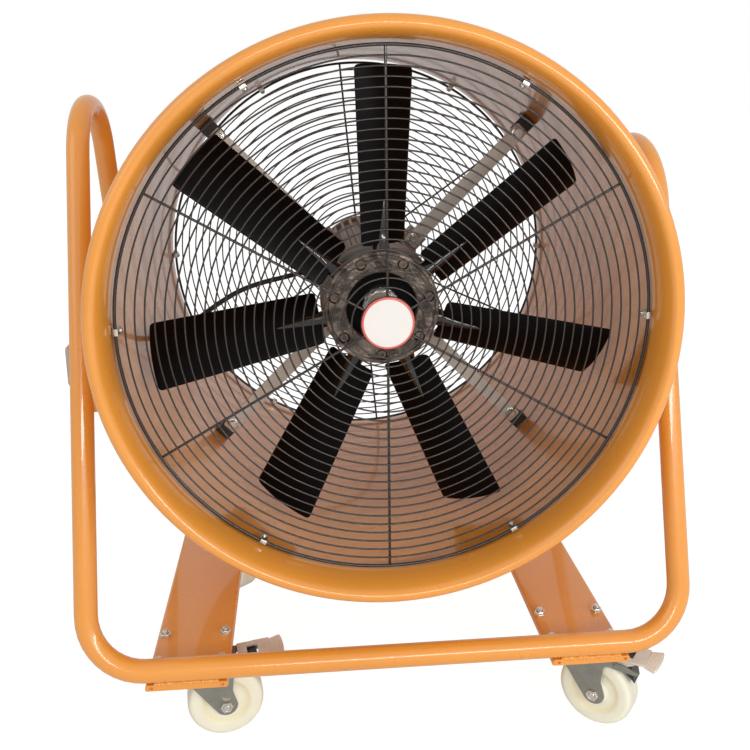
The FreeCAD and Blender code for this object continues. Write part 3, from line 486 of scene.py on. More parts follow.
# Finishes


def texture_group(name, inputs, build):
    """Group that puts out colour, roughness and height, made once; build gives the three."""
    if name in bpy.data.node_groups:
        return bpy.data.node_groups[name]
    group = bpy.data.node_groups.new(name, "ShaderNodeTree")
    for label, value in inputs.items():
        kind = "NodeSocketColor" if isinstance(value, tuple) else "NodeSocketFloat"
        group.interface.new_socket(label, in_out="INPUT", socket_type=kind).default_value = value
    for label, kind in (("Colour", "NodeSocketColor"), ("Roughness", "NodeSocketFloat"),
                        ("Height", "NodeSocketFloat")):
        group.interface.new_socket(label, in_out="OUTPUT", socket_type=kind)
    colour, rough, height = build(group, node(group, "NodeGroupInput").outputs, object_place(group))
    node(group, "NodeGroupOutput", {"Colour": colour, "Roughness": rough, "Height": height})
    return group


def sprayed_coat(g, i, place):
    """Slow drift of tone, fine orange peel, and dust that dulls the gloss."""
    slow = noise(g, place, i["Drift Scale"], 4.0)
    tone = spread(g, slow, 0.3, 0.7, math_node(g, "SUBTRACT", 1.0, i["Drift"]),
                  math_node(g, "ADD", 1.0, i["Drift"]))
    toned = vector_node(g, "SCALE", {0: i["Colour"], 3: tone})
    specks = noise(g, place, 900.0, 2.0)
    dust = math_node(g, "MULTIPLY", spread(g, specks, 0.66, 0.78), i["Dust"])
    settled = mix_colour(g, dust, toned, (0.62, 0.58, 0.53, 1))
    patches = noise(g, place, 14.0, 5.0)
    wander = math_node(g, "MULTIPLY", math_node(g, "SUBTRACT", patches, 0.5), i["Gloss Drift"])
    rough = math_node(g, "ADD", math_node(g, "ADD", i["Gloss"], wander), math_node(g, "MULTIPLY", dust, 0.3))
    return settled, rough, noise(g, place, i["Peel Scale"], 1.0)


def worn_metal(g, i, place):
    """Bare or plated metal: fine grain, stains and uneven gloss."""
    cloud = noise(g, place, 38.0, 6.0, 0.62)
    grain = noise(g, place, i["Grain Scale"], 2.0)
    mask = math_node(g, "MULTIPLY", spread(g, cloud, 0.42, 0.68), i["Stain Amount"])
    stained = mix_colour(g, mask, i["Colour"], i["Stain"])
    toned = mix_colour(g, spread(g, grain, 0.3, 0.7, 0.0, 0.18), stained, (1, 1, 1, 1), "SOFT_LIGHT")
    wander = math_node(g, "MULTIPLY", math_node(g, "SUBTRACT", cloud, 0.45), i["Gloss Drift"])
    return toned, math_node(g, "ADD", i["Gloss"], wander), grain


def new_material(name):
    material = bpy.data.materials.new(name)
    material.use_nodes = True
    tree = material.node_tree
    tree.nodes.clear()
    shader = node(tree, "ShaderNodeBsdfPrincipled")
    node(tree, "ShaderNodeOutputMaterial", {"Surface": shader.outputs[0]})
    return material, tree, shader


def bump(tree, shader, height, strength, distance):
    n = node(tree, "ShaderNodeBump", {"Height": height, "Strength": strength, "Distance": distance})
    tree.links.new(n.outputs[0], shader.inputs["Normal"])


def scaled(colour, factor):
    return (*(c * factor for c in colour), 1)


# Paints and mouldings: name, colour, its share, gloss, drift, peel depth, dust,
# clear coat, peel scale, specular
COATS = {
    "orange": ("Orange Powder Coat", "coat", 1, 0.28, 0.05, 0.0003, 0.06, 0.6, 420, 0.5),
    "wire": ("Guard Wire Coating", "wire", 1, 0.26, 0.10, 0.0002, 0.10, 0.3, 420, 0.5),
    "bracket": ("Black Bracket Paint", "wire", 0.8, 0.42, 0.08, 0.0004, 0.25, 0, 420, 0.5),
    "blade": ("Blade Paint", "blade", 1, 0.34, 0.12, 0.0004, 0.02, 0, 420, 0.07),
    "rib": ("Root Rib Paint", "blade", 1, 0.18, 0.10, 0.0001, 0.03, 0.8, 420, 0.5),
    "motor": ("Motor Paint", "motor", 1, 0.45, 0.10, 0.0005, 0.30, 0, 420, 0.5),
    "pad": ("Foot Pad", "pad", 1, 0.55, 0.12, 0.0010, 0.35, 0, 260, 0.5),
    "rubber": ("Black Rubber Sheath", "rubber", 1, 0.55, 0.10, 0.0003, 0.20, 0, 900, 0.5),
    "moulding": ("Black Moulding", "rubber", 0.9, 0.40, 0.06, 0.0003, 0.12, 0, 1200, 0.5),
    "case": ("Grey Beige Moulding", "case", 1, 0.45, 0.04, 0.0004, 0.12, 0, 1400, 0.5),
}
COAT_INPUTS = {"Colour": (0.8, 0.8, 0.8, 1), "Drift": 0.05, "Drift Scale": 5.0, "Gloss": 0.3,
               "Gloss Drift": 0.08, "Peel Scale": 420.0, "Dust": 0.1}
# Metals: name, colour, its share, the stain's share, stain, gloss, grain scale, metallic, grain depth
METALS = {
    "cast": ("Cast Hub Metal", "cast", 1, 0.25, 1.7, 0.40, 150, 0.6, 0.0110),
    "zinc": ("Dull Zinc Plating", "zinc", 1, 0.55, 0.35, 0.36, 350, 0.8, 0.0003),
    "bright": ("Bright Zinc Plating", "bright", 1, 0.55, 0.2, 0.24, 350, 0.9, 0.00008),
    "steel": ("Oiled Steel", "cast", 0.85, 0.2, 0.5, 0.35, 300, 1, 0.0003),
    "pale": ("Pale Flat Steel", "steel", 1, 0.6, 0.25, 0.48, 240, 0.3, 0.0003),
    "pedal": ("Pedal Steel", "pedal", 1, 0.55, 0.3, 0.34, 260, 0.35, 0.0003),
}
METAL_INPUTS = {"Colour": (0.6, 0.6, 0.6, 1), "Stain": (0.3, 0.27, 0.24, 1), "Stain Amount": 0.3,
                "Grain Scale": 300.0, "Gloss": 0.35, "Gloss Drift": 0.15}


def finish(key):
    """The material of a row in COATS or METALS, made once."""
    name, colour, tone, *values = COATS.get(key) or METALS[key]
    if name in bpy.data.materials:
        return bpy.data.materials[name]
    base = getattr(bpy.context.scene.ventilator_colours, colour)
    material, tree, shader = new_material(name)
    if key in COATS:
        gloss, drift, depth, dust, clear, scale, specular = values
        texture = texture_group("Sprayed Coat", COAT_INPUTS, sprayed_coat)
        inputs = {"Drift": drift, "Gloss": gloss, "Dust": dust, "Peel Scale": scale}
        settings = {"Coat Weight": clear, "Coat Roughness": 0.06, "Specular IOR Level": specular}
        strength = 0.25
    else:
        stain_tone, amount, gloss, scale, metallic, depth = values
        texture = texture_group("Worn Metal", METAL_INPUTS, worn_metal)
        inputs = {"Stain": scaled(base, stain_tone), "Stain Amount": amount,
                  "Grain Scale": scale, "Gloss": gloss}
        settings = {"Metallic": metallic}
        strength = 0.3
    g = node(tree, "ShaderNodeGroup", {"Colour": scaled(base, tone), **inputs}, node_tree=texture).outputs
    tree.links.new(g["Colour"], shader.inputs["Base Color"])
    tree.links.new(g["Roughness"], shader.inputs["Roughness"])
    for label, value in settings.items():
        shader.inputs[label].default_value = value
    bump(tree, shader, g["Height"], strength, depth)
    return material


# Pieces: drum and guards


class VENTILATOR_OT_drum(Operator):
    """Spun drum with a flared mouth and a rolled rim at each end"""
    bl_idname = "ventilator.drum"
    bl_label = "Drum"

    def execute(self, context):
        d = context.scene.ventilator_drum
        half = d.length / 2
        throat = half - d.flare
        mouth = d.rim - d.roll
        hem = d.roll - d.wall
        turns = [QUARTER * i / 14 for i in range(15)]
        flare = [(mouth - d.bore) * (1 - math.cos(a)) for a in turns]
        inside = [(d.bore + out, throat + d.flare * math.sin(a)) for out, a in zip(flare, turns)]
        edge = [(mouth + d.roll * math.sin(a), half - d.roll * (1 - math.cos(a))) for a in turns[1:]]
        tucked = [(d.rim - d.wall / 3, half - d.bead), (d.rim - d.wall, half - d.bead),
                  (d.rim - d.wall, half - d.roll)]
        hollow = [(mouth + hem * math.sin(a), half - d.wall - hem * (1 - math.cos(a))) for a in turns[-2:3:-3]]
        outside = [(d.bore + d.wall + out, throat + (d.flare - d.wall) * math.sin(a))
                   for out, a in zip(flare[::-1], turns[::-1])]
        rear = inside + edge + tucked + hollow + outside
        front = [(r, -y) for r, y in rear[::-1]]
        drum = bare("drum", lathe(rear + front, 160, DRUM))
        hit, run = lead_crossing()
        hole, reach = 0.0101, 0.02
        cut_away(drum, rod(hole, hit - run * reach, hit + run * reach, 32))
        dress(drum, "frame", "orange", ("drum_shell",), 0, 30)
        seam, steps = [], 89
        for k in range(steps + 1):
            wave = 0.00035 * math.sin(k * 1.9) + 0.0002 * math.sin(k * 4.3)
            seam.append(DRUM + Vector((wave, throat * (2 * k / steps - 1), -d.bore - d.wall - wave * 0.4)))
        bead = 0.0016
        add_piece("drum_seam_weld", tube(seam, bead, 8), "frame", "orange", like="drum_shell")
        return {"FINISHED"}


# Points of the lead's route from the drum's middle, in millimetres
LEAD = (
    (-347.0, -20.0, -74.0),
    (-306.0, -19.0, -72.0),
    (-263.0, -17.5, -58.0),
    (-223.0, -16.0, -29.0),
    (-186.0, -15.0, -7.0),
    (-150.0, -14.5, 4.0),
    (-120.0, -15.0, 10.0),
    (-94.0, -16.0, 17.0),
)
LEAD_RADIUS = 0.0035
WALL_SHARE = 0.93


def lead_crossing():
    """Where the lead passes the drum's wall, and its direction there."""
    start, end = (DRUM + Vector(p) * MM for p in LEAD[:2])
    return start + (end - start) * WALL_SHARE, (end - start).normalized()


SOCKETS = {"f": "NodeSocketFloat", "i": "NodeSocketInt", "v": "NodeSocketVector", "m": "NodeSocketMaterial"}


def grown(name, build, inputs, values):
    """Object whose mesh a Geometry Nodes tree makes; build gives the tree's geometry, once per tree."""
    label = build.__name__.replace("_", " ").title()
    tree = bpy.data.node_groups.get(label)
    if tree is None:
        tree = bpy.data.node_groups.new(label, "GeometryNodeTree")
        tree.interface.new_socket("Geometry", in_out="INPUT", socket_type="NodeSocketGeometry")
        for key, kind in inputs.items():
            tree.interface.new_socket(key, in_out="INPUT", socket_type=SOCKETS[kind])
        tree.interface.new_socket("Geometry", in_out="OUTPUT", socket_type="NodeSocketGeometry")
        i = node(tree, "NodeGroupInput").outputs
        real = node(tree, "GeometryNodeRealizeInstances", {"Geometry": build(tree, i)}).outputs[0]
        painted = node(tree, "GeometryNodeSetMaterial", {"Geometry": real, "Material": i["Material"]}).outputs[0]
        node(tree, "NodeGroupOutput", {0: painted})
    obj = linked(name, bpy.data.meshes.new(name))
    modifier = obj.modifiers.new("Grow", "NODES")
    modifier.node_group = tree
    for item in tree.interface.items_tree:
        if item.in_out == "INPUT" and item.name in values:
            modifier[item.identifier] = values[item.name]
    return baked(obj)


def ring_curve(t, sides, radius):
    return node(t, "GeometryNodeCurvePrimitiveCircle", {"Resolution": sides, "Radius": radius}).outputs[0]


def swept(t, curve, sides, thickness, caps=False):
    thin = ring_curve(t, sides, math_node(t, "MULTIPLY", thickness, 0.5))
    return node(t, "GeometryNodeCurveToMesh", {"Curve": curve, "Profile Curve": thin, "Fill Caps": caps}).outputs[0]


def on_points(t, points, instance, **more):
    return node(t, "GeometryNodeInstanceOnPoints", {"Points": points, "Instance": instance, **more}).outputs[0]


def row(t, count):
    """As many points as counted, all in one place, and each one's number."""
    points = node(t, "GeometryNodeMeshLine", {"Count": count, "Offset": (0, 0, 0)}).outputs[0]
    return points, node(t, "GeometryNodeInputIndex").outputs[0]


def around(t, count, first, instance):
    """Copies turned about Z in equal steps."""
    points, index = row(t, count)
    step = math_node(t, "DIVIDE", 2 * math.pi, count)
    angle = math_node(t, "ADD", math_node(t, "MULTIPLY", index, step), first)
    return on_points(t, points, instance, Rotation=xyz(t, {2: angle}))


def shifted(t, geometry, **more):
    return node(t, "GeometryNodeTransform", {"Geometry": geometry, **more}).outputs[0]


def ring_guard(t, i):
    """Concentric rings with rods behind them and a thicker outer ring, about Z."""
    points, index = row(t, i["Rings"])
    radius = math_node(t, "ADD", math_node(t, "MULTIPLY", index, i["Pitch"]), i["First Radius"])
    rings = on_points(t, points, ring_curve(t, 144, 1.0), Scale=xyz(t, {0: radius, 1: radius, 2: 1.0}))
    rings = node(t, "GeometryNodeRealizeInstances", {0: rings}).outputs[0]
    ring_mesh = swept(t, rings, 10, i["Wire"])
    outer_mesh = swept(t, ring_curve(t, 160, i["Outer Radius"]), 12, i["Outer Wire"])
    behind = math_node(t, "MULTIPLY", math_node(t, "ADD", i["Wire"], i["Rod"]), -0.5)
    ends = {"Start": xyz(t, {0: i["First Radius"], 2: behind}),
            "End": xyz(t, {0: i["Outer Radius"], 2: behind})}
    spoke = node(t, "GeometryNodeCurvePrimitiveLine", ends).outputs[0]
    spokes = around(t, i["Spokes"], i["Spoke Turn"], swept(t, spoke, 12, i["Rod"], True))
    both = node(t, "GeometryNodeJoinGeometry")
    for part in (spokes, outer_mesh, ring_mesh):
        t.links.new(part, both.inputs[0])
    return shifted(t, both.outputs[0], Rotation=i["Facing"], Translation=i["Place"])


class VENTILATOR_OT_guards(Operator):
    """Two guards of concentric wires on radial rods"""
    bl_idname = "ventilator.guards"
    bl_label = "Guards"

    def execute(self, context):
        g = context.scene.ventilator_guard
        reach = context.scene.ventilator_drum.length / 2 - g.inset + g.wire / 2
        inputs = {"Rings": "i", "First Radius": "f", "Pitch": "f", "Wire": "f", "Outer Radius": "f",
                  "Outer Wire": "f", "Spokes": "i", "Spoke Turn": "f", "Rod": "f", "Place": "v",
                  "Facing": "v", "Material": "m"}
        # the ring plane faces out of the drum: Z turned to -Y at the front and to +Y at the rear
        for name, side, angle in (("front_guard", -1, g.front_turn), ("rear_guard", 1, math.pi - g.rear_turn)):
            obj = grown(name + "_wires", ring_guard, inputs, {
                "Rings": g.rings, "First Radius": g.first, "Pitch": g.pitch, "Wire": g.wire,
                "Outer Radius": g.outer, "Outer Wire": g.outer_wire, "Spokes": g.spokes,
                "Spoke Turn": angle, "Rod": g.rod, "Place": tuple(DRUM + Y * side * reach),
                "Facing": (-side * QUARTER, 0, 0), "Material": finish("wire")})
            dress(obj, "frame", "wire", (name,), 0, 60)
        return {"FINISHED"}


def disc_paint(context, centre, radius):
    """White disc with a thin warm edge, by distance from its middle."""
    c = context.scene.ventilator_colours
    material, tree, shader = new_material("Plain Disc Enamel")
    place = object_place(tree)
    flat = vector_node(tree, "SUBTRACT", {0: place, 1: tuple(centre)})
    flat = vector_node(tree, "MULTIPLY", {0: flat, 1: (1, 0, 1)})
    away = vector_node(tree, "LENGTH", {0: flat}, "Value")
    edge = spread(tree, away, radius * 0.905, radius * 0.93)
    grime = noise(tree, place, 60.0, 4.0)
    white = mix_colour(tree, spread(tree, grime, 0.45, 0.75, 0.0, 0.12), scaled(c.disc, 1), scaled(c.disc, 0.8))
    tree.links.new(mix_colour(tree, edge, white, scaled(c.disc_edge, 1)), shader.inputs["Base Color"])
    tree.links.new(spread(tree, grime, 0.3, 0.7, 0.16, 0.26), shader.inputs["Roughness"])
    bump(tree, shader, grime, 0.1, 0.0003)
    return material


class VENTILATOR_OT_disc(Operator):
    """Plain domed disc in the middle of the front guard"""
    bl_idname = "ventilator.disc"
    bl_label = "Guard disc"

    def execute(self, context):
        low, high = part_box("guard_badge")
        centre = Vector((DRUM.x, high[1], DRUM.z))
        depth = high[1] - low[1]
        r = context.scene.ventilator_guard.badge
        tip = 0.0005
        shares = ((0.96, 0), (1, 0.25), (1, 0.6), (0.985, 0.85), (0.95, 0.93), (0.6, 0.98))
        profile = [(tip, 0)] + [(r * wide, depth * deep) for wide, deep in shares] + [(tip, depth)]
        add_piece("guard_disc", spun(profile, 96, centre, -Y), "frame", disc_paint(context, centre, r),
                  ("guard_badge",), 0, 50)
        return {"FINISHED"}


class VENTILATOR_OT_clips(Operator):
    """Hooked clips with a screw each, round both guards"""
    bl_idname = "ventilator.clips"
    bl_label = "Guard clips"

    def execute(self, context):
        g = context.scene.ventilator_guard
        d = context.scene.ventilator_drum
        width, sheet, tail, slack, edge = 0.008, 0.002, 0.007, 0.0003, 0.0009
        front = d.length / 2 - g.inset
        wall = d.bore - 0.0002
        lip = g.outer + 0.001
        inner = g.outer - g.outer_wire / 2 - slack
        back = front - g.rod - slack
        fore = front + g.outer_wire + slack
        hook = [(wall, back - tail), (wall, back), (inner, back), (inner, fore), (lip, fore),
                (lip, fore + sheet), (inner - sheet, fore + sheet), (inner - sheet, back - tail)]
        dome = [(0.0034, 0), (0.0034, 0.0012), (0.0024, 0.0026), (0.0005, 0.003)]
        parts = []
        for side in (-1, 1):
            outline = rounded([DRUM + Vector((r, side * y, -width / 2)) for r, y in hook], edge, 3)
            seat = DRUM + Vector((inner - sheet, side * (back - tail / 2), 0))
            clip = joined(slab(outline, Z * width), spun(dome, 16, seat, -X))
            parts += [moved(clip, about_drum(math.radians(60 * i))) for i in range(6)]
        add_piece("guard_clip_hooks", joined(*parts), "frame", "bright", ("guard_clips",), 0.0002)
        return {"FINISHED"}


# Pieces: impeller


def impeller_axes(p):
    """Middle of the blades on the drum's axis, and the directions along and out of a blade that points up."""
    plane = DRUM + Y * (p.setback - bpy.context.scene.ventilator_drum.length / 2)
    sine, cosine = math.sin(p.pitch), math.cos(p.pitch)
    return plane, Vector((cosine, sine, 0)), Vector((sine, -cosine, 0))


def eased_share(t):
    """Even steps from 0 to 1, closer together at both ends."""
    return 0.5 - 0.5 * math.cos(math.pi * t)


def corner_pull(radius, near):
    """How far a rounded corner draws an edge in, at a distance from its end."""
    return radius - math.sqrt(max(radius**2 - (radius - near)**2, 0)) if near < radius else 0.0


def blade_part(p):
    """One blade that points up from the drum's axis: closed skin with round shoulders and edges."""
    plane, along, out = impeller_axes(p)
    thickness_share, leading_share = 0.065, 0.45
    span_steps, chord_steps = 44, 18
    shoulder, tip_round, edge, end = 0.006, 0.005, 0.003, 0.002
    rings = []
    for k in range(span_steps + 1):
        part = eased_share(k / span_steps)
        near = (p.tip - p.root) * part
        r = p.root + near
        far = p.tip - r
        chord = p.root_chord + (p.tip_chord - p.root_chord) * part
        pull = max(corner_pull(shoulder, near), corner_pull(tip_round, far)) / chord
        thin = min(min(near, far) / end + 0.15, 1.0)
        top, low = [], []
        for i in range(chord_steps + 1):
            s = pull + (1 - 2 * pull) * eased_share(i / chord_steps)
            bulge = 4 * s * (1 - s)
            cut = min(min(s - pull, 1 - pull - s) * chord / edge, 1.0)
            soft = max(math.sqrt(max(1 - (1 - cut)**2, 0)), 0.05)
            half = chord * thickness_share / 2 * (0.25 + 0.75 * bulge) * soft * thin
            camber = chord * p.camber * bulge
            flat = along * (chord * (s - leading_share))
            drop = r - (r - math.sqrt(max(r**2 - flat.x**2, 0))) * part
            base = plane + flat + Z * drop
            top.append(base + out * (camber + half))
            low.append(base + out * (camber - half))
        rings.append(top + low[::-1])
    return skin(rings)


# Rows of a blade's collar and rib: distance from the axis, half width, distance in front of the blade
RIB = ((0.050, 0.0110, 0), (0.0762, 0.0110, 0), (0.0770, 0.0104, 0), (0.0790, 0.0104, 0), (0.0800, 0.0094, 0.0004),
       (0.0950, 0.0072, 0.0024), (0.1150, 0.0042, 0.0042), (0.1300, 0.0020, 0.0050), (0.1400, 0.0006, 0.0052))


def rib_part(p):
    """Shank collar of one blade, and the round rib that tapers off along its front."""
    plane, along, out = impeller_axes(p)
    return skin([circle(plane + Z * height + out * off, along, out, wide, 24) for height, wide, off in RIB])


class VENTILATOR_OT_blades(Operator):
    """Seven cambered blades with round shoulders and a tapered root rib"""
    bl_idname = "ventilator.blades"
    bl_label = "Blades"

    def execute(self, context):
        p = context.scene.ventilator_impeller
        paddle, rib = blade_part(p), rib_part(p)
        for i in range(p.blades):
            name = "blade_%d" % (i + 1)
            place = about_drum(p.first - QUARTER + 2 * math.pi * i / p.blades)
            add_piece(name + "_paddle", moved(paddle, place), "impeller", "blade", (name,), 0, 45)
            add_piece(name + "_rib", moved(rib, place), "impeller", "rib", (), 0, 40, like=name)
        return {"FINISHED"}


def screw_circle(t, i):
    """Socket screws spread about Z, each a cap with a hexagonal socket."""
    def post(sides, radius):
        links = {"Vertices": sides, "Side Segments": 1, "Radius": radius, "Depth": i["Head Height"]}
        return node(t, "GeometryNodeMeshCylinder", links).outputs[0]

    body = post(28, i["Head Radius"])
    lift = math_node(t, "MULTIPLY", i["Head Height"], 0.3)
    raised = shifted(t, post(6, i["Socket"]), Translation=xyz(t, {2: lift}))
    cap = node(t, "GeometryNodeMeshBoolean", {"Mesh 1": body, "Mesh 2": raised},
               operation="DIFFERENCE", solver="EXACT")
    placed = shifted(t, cap.outputs[0], Translation=xyz(t, {0: i["Circle"]}))
    screws = around(t, i["Screws"], i["Turn"], placed)
    return shifted(t, screws, Rotation=i["Facing"], Translation=i["Place"])


class VENTILATOR_OT_hub(Operator):
    """Clamping rings, web with a castellated boss, screws and shaft bolt"""
    bl_idname = "ventilator.hub"
    bl_label = "Hub"

    def execute(self, context):
        p = context.scene.ventilator_impeller
        c = impeller_axes(p)[0]
        h, e, split = p.half_depth, 0.0012, 0.0005
        groove_out, groove_in, groove = 0.0044, 0.006, 0.0008
        front = [(p.window, e - h), (p.window + e, -h), (p.hub - groove_in, -h),
                 (p.hub - (groove_in + groove_out) / 2, groove - h), (p.hub - groove_out, -h), (p.hub - e, -h),
                 (p.hub, e - h), (p.hub, -split), (p.window, -split)]
        ring = bare("hub_front_ring", lathe(front, 112, c))
        sink, sink_depth, above = 0.0071, 0.0096, 0.004
        half_step = math.pi / p.blades
        sinks = []
        for i in range(p.blades):
            spot = about_drum(p.first - QUARTER + half_step * (2 * i + 1)) @ (c + Z * p.screws - Y * h)
            sinks.append(rod(sink, spot - Y * above, spot + Y * sink_depth, 32))
        cut_away(ring, joined(*sinks))
        dress(ring, "impeller", "cast", ("hub_front",), 0, 32)

        boss, bore, lead, web = 0.023, 0.0121, 0.006, 0.007
        back = [(boss, h - web), (p.window, h - web), (p.window, split), (p.hub, split), (p.hub, h - e),
                (p.hub - e, h), (boss, h)]
        # The rear cup takes the black blade paint, not the cast metal, which keeps the web seen through the window
        # dark.
        add_piece("hub_rear_cup", lathe(back, 112, c), "impeller", "blade", ("hub_rear",), 0, 32)
        rim = boss - 0.0001
        core = bare("hub_boss", lathe([(bore, -lead), (boss - e, -lead), (rim, e - lead), (rim, h + lead),
                                       (bore, h + lead)], 64, c))
        tooth = block(c + Vector((0.0165, -lead - 0.002, -0.0022)), c + Vector((0.026, 0.006 - lead, 0.0022)))
        turns = [Matrix.Translation(c) @ Matrix.Rotation(math.radians(30 * i), 4, "Y") @ Matrix.Translation(-c)
                 for i in range(12)]
        cut_away(core, joined(*[moved(tooth, by) for by in turns]))
        dress(core, "impeller", "bright", (), 0.0003, 32, like="hub_rear")

        inputs = {"Screws": "i", "Circle": "f", "Head Radius": "f", "Head Height": "f", "Socket": "f",
                  "Turn": "f", "Place": "v", "Facing": "v", "Material": "m"}
        screws = grown("hub_clamp_screws", screw_circle, inputs, {
            "Screws": p.blades, "Circle": p.screws, "Head Radius": 0.0052, "Head Height": 0.0038, "Socket": 0.0029,
            "Turn": p.first + half_step, "Place": tuple(c - Y * (h - 0.0034)), "Facing": (QUARTER, 0, 0),
            "Material": finish("steel")})
        dress(screws, "impeller", "steel", ("hub_screws",), 0, 30)

        nose, washer, tip = c - Y * lead, 0.003, 0.0005
        disc = [(tip, 0), (0.0198, 0), (0.020, 0.0006), (0.020, 0.0024), (0.0194, washer), (tip, washer)]
        head = bolt_head(0.013, 0.0055, nose - Y * washer, -Y)
        add_piece("hub_shaft_bolt", joined(spun(disc, 48, nose, -Y), head), "impeller", "bright",
                  ("hub_cap",), 0.0003)
        low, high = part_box("motor_shaft")
        radius, rotor, length, ease = 0.0119, 0.0376, 0.11, 0.0004
        shaft = rod(radius, (DRUM.x, low[1], DRUM.z), (DRUM.x, high[1], DRUM.z), 48)
        core = spun([(rotor - ease / 2, 0), (rotor, ease), (rotor, length - ease), (rotor - ease / 2, length)], 64,
                    DRUM - Y * 0.0525, Y)
        add_piece("motor_shaft_turned", joined(shaft, core), "impeller", "steel", ("motor_shaft",), ease)
        return {"FINISHED"}


# Pieces: motor and its arms


class VENTILATOR_OT_motor(Operator):
    """Finned motor with end shields, terminal pad and bearings"""
    bl_idname = "ventilator.motor"
    bl_label = "Motor"

    def execute(self, context):
        front, length, fins, core, tip, bore = -0.115, 0.235, 36, 0.0700, 0.0752, 0.0384
        step = 2 * math.pi / fins
        outer, inner = [], []
        for i in range(fins):
            for radius, along in ((core, 0.0), (core, 0.55), (tip, 0.62), (tip, 0.93)):
                a = step * (i + along)
                way = Vector((math.cos(a), 0, math.sin(a)))
                outer.append(DRUM + way * radius + Y * front)
                inner.append(DRUM + way * bore + Y * front)
        body = skin([outer, [v + Y * length for v in outer], [v + Y * length for v in inner], inner],
                    closed=True)
        lug = block(DRUM + Vector((-0.014, -0.017, 0.060)), DRUM + Vector((0.014, 0.003, 0.097)))
        lugs = [moved(lug, about_drum(math.radians(45 + 90 * i))) for i in range(4)]
        pad = block((DRUM.x - 0.082, DRUM.y - 0.038, 0.573), (DRUM.x - 0.060, DRUM.y + 0.006, 0.607))
        add_piece("motor_finned_body", joined(body, *lugs, pad), "frame", "motor", ("motor_housing",), 0.0006)

        deep, dish, bolt_circle = 0.0118, 0.0095, 0.066
        shield = [(0.0123, 0), (0.0755, 0), (0.0758, 0.002), (0.0758, dish), (0.0735, deep), (0.050, deep),
                  (0.047, dish), (0.026, dish), (0.024, deep), (0.0123, deep)]
        parts = []
        for side, y in ((-1, front), (1, front + length)):
            face = DRUM + Y * y
            parts.append(lathe(shield, 72, face, Y * side))
            for k in range(6):
                a = math.radians(30 + 60 * k)
                spot = face + Vector((math.cos(a), 0, math.sin(a))) * bolt_circle + Y * side * deep
                flat = 0.0001
                parts.append(bolt_head(0.008, flat, spot - Y * side * flat, Y * side))
        add_piece("motor_shields_turned", joined(*parts), "frame", "motor", ("motor_end_shields",), 0.0004)
        race = [(0.01215, 0), (0.015, 0), (0.0152, 0.0006), (0.0172, 0.0006), (0.0174, 0), (0.0198, 0),
                (0.0198, 0.009), (0.01215, 0.009)]
        bearings = [lathe(race, 64, DRUM + Y * y) for y in (front - 0.009, front + length)]
        add_piece("motor_bearing_rings", joined(*bearings), "frame", "zinc", ("motor_bearings",))
        return {"FINISHED"}


class VENTILATOR_OT_arms(Operator):
    """Four flat arms with their brackets and bolts"""
    bl_idname = "ventilator.arms"
    bl_label = "Motor arms"

    def execute(self, context):
        bore = context.scene.ventilator_drum.bore
        half, sheet, inner, outer = 0.010, 0.004, 0.0756, 0.300
        wide, washer, head, flats = 0.011, 0.0012, 0.0055, 0.013
        face = DRUM - Y * 0.017
        back = -Y * sheet
        disc = [(0.0082, 0), (0.0082, washer), (0.0078, 0.0014)]
        bar = slab(rounded([face + back + Vector((x, 0, z)) for x, z in (
            (-half, inner), (half, inner), (half, outer), (-half, outer))], 0.003, 4), Y * sheet)
        leg = block(face + Vector((-wide, 0, 0.288)), face + Vector((wide, sheet, 0.3150)))
        foot = block(face + Vector((-wide, sheet, 0.3118)), face + Vector((wide, 0.030, bore - 0.0002)))
        bolts = []
        for reach in (0.087, 0.290):
            spot = face + back + Z * reach
            bolts += [spun(disc, 28, spot, -Y), bolt_head(flats, head, spot - Y * washer, -Y)]
        spot = spot + Y * sheet * 2
        bolts += [bolt_head(flats, head, spot, Y), rod(0.0039, spot, spot + Y * head, 16)]
        turns = [about_drum(math.radians(45 + 90 * i)) for i in range(4)]
        for name, part, material, replaced, edge in (
                ("motor_arm_bars", bar, "pale", "motor_arms", 0.0005),
                ("arm_bracket_feet", joined(leg, foot), "bracket", "arm_brackets", 0.0006),
                ("arm_bolt_heads", joined(*bolts), "bright", "arm_bolts", 0.0002)):
            add_piece(name, joined(*[moved(part, by) for by in turns]), "frame", material, (replaced,), edge)
        return {"FINISHED"}


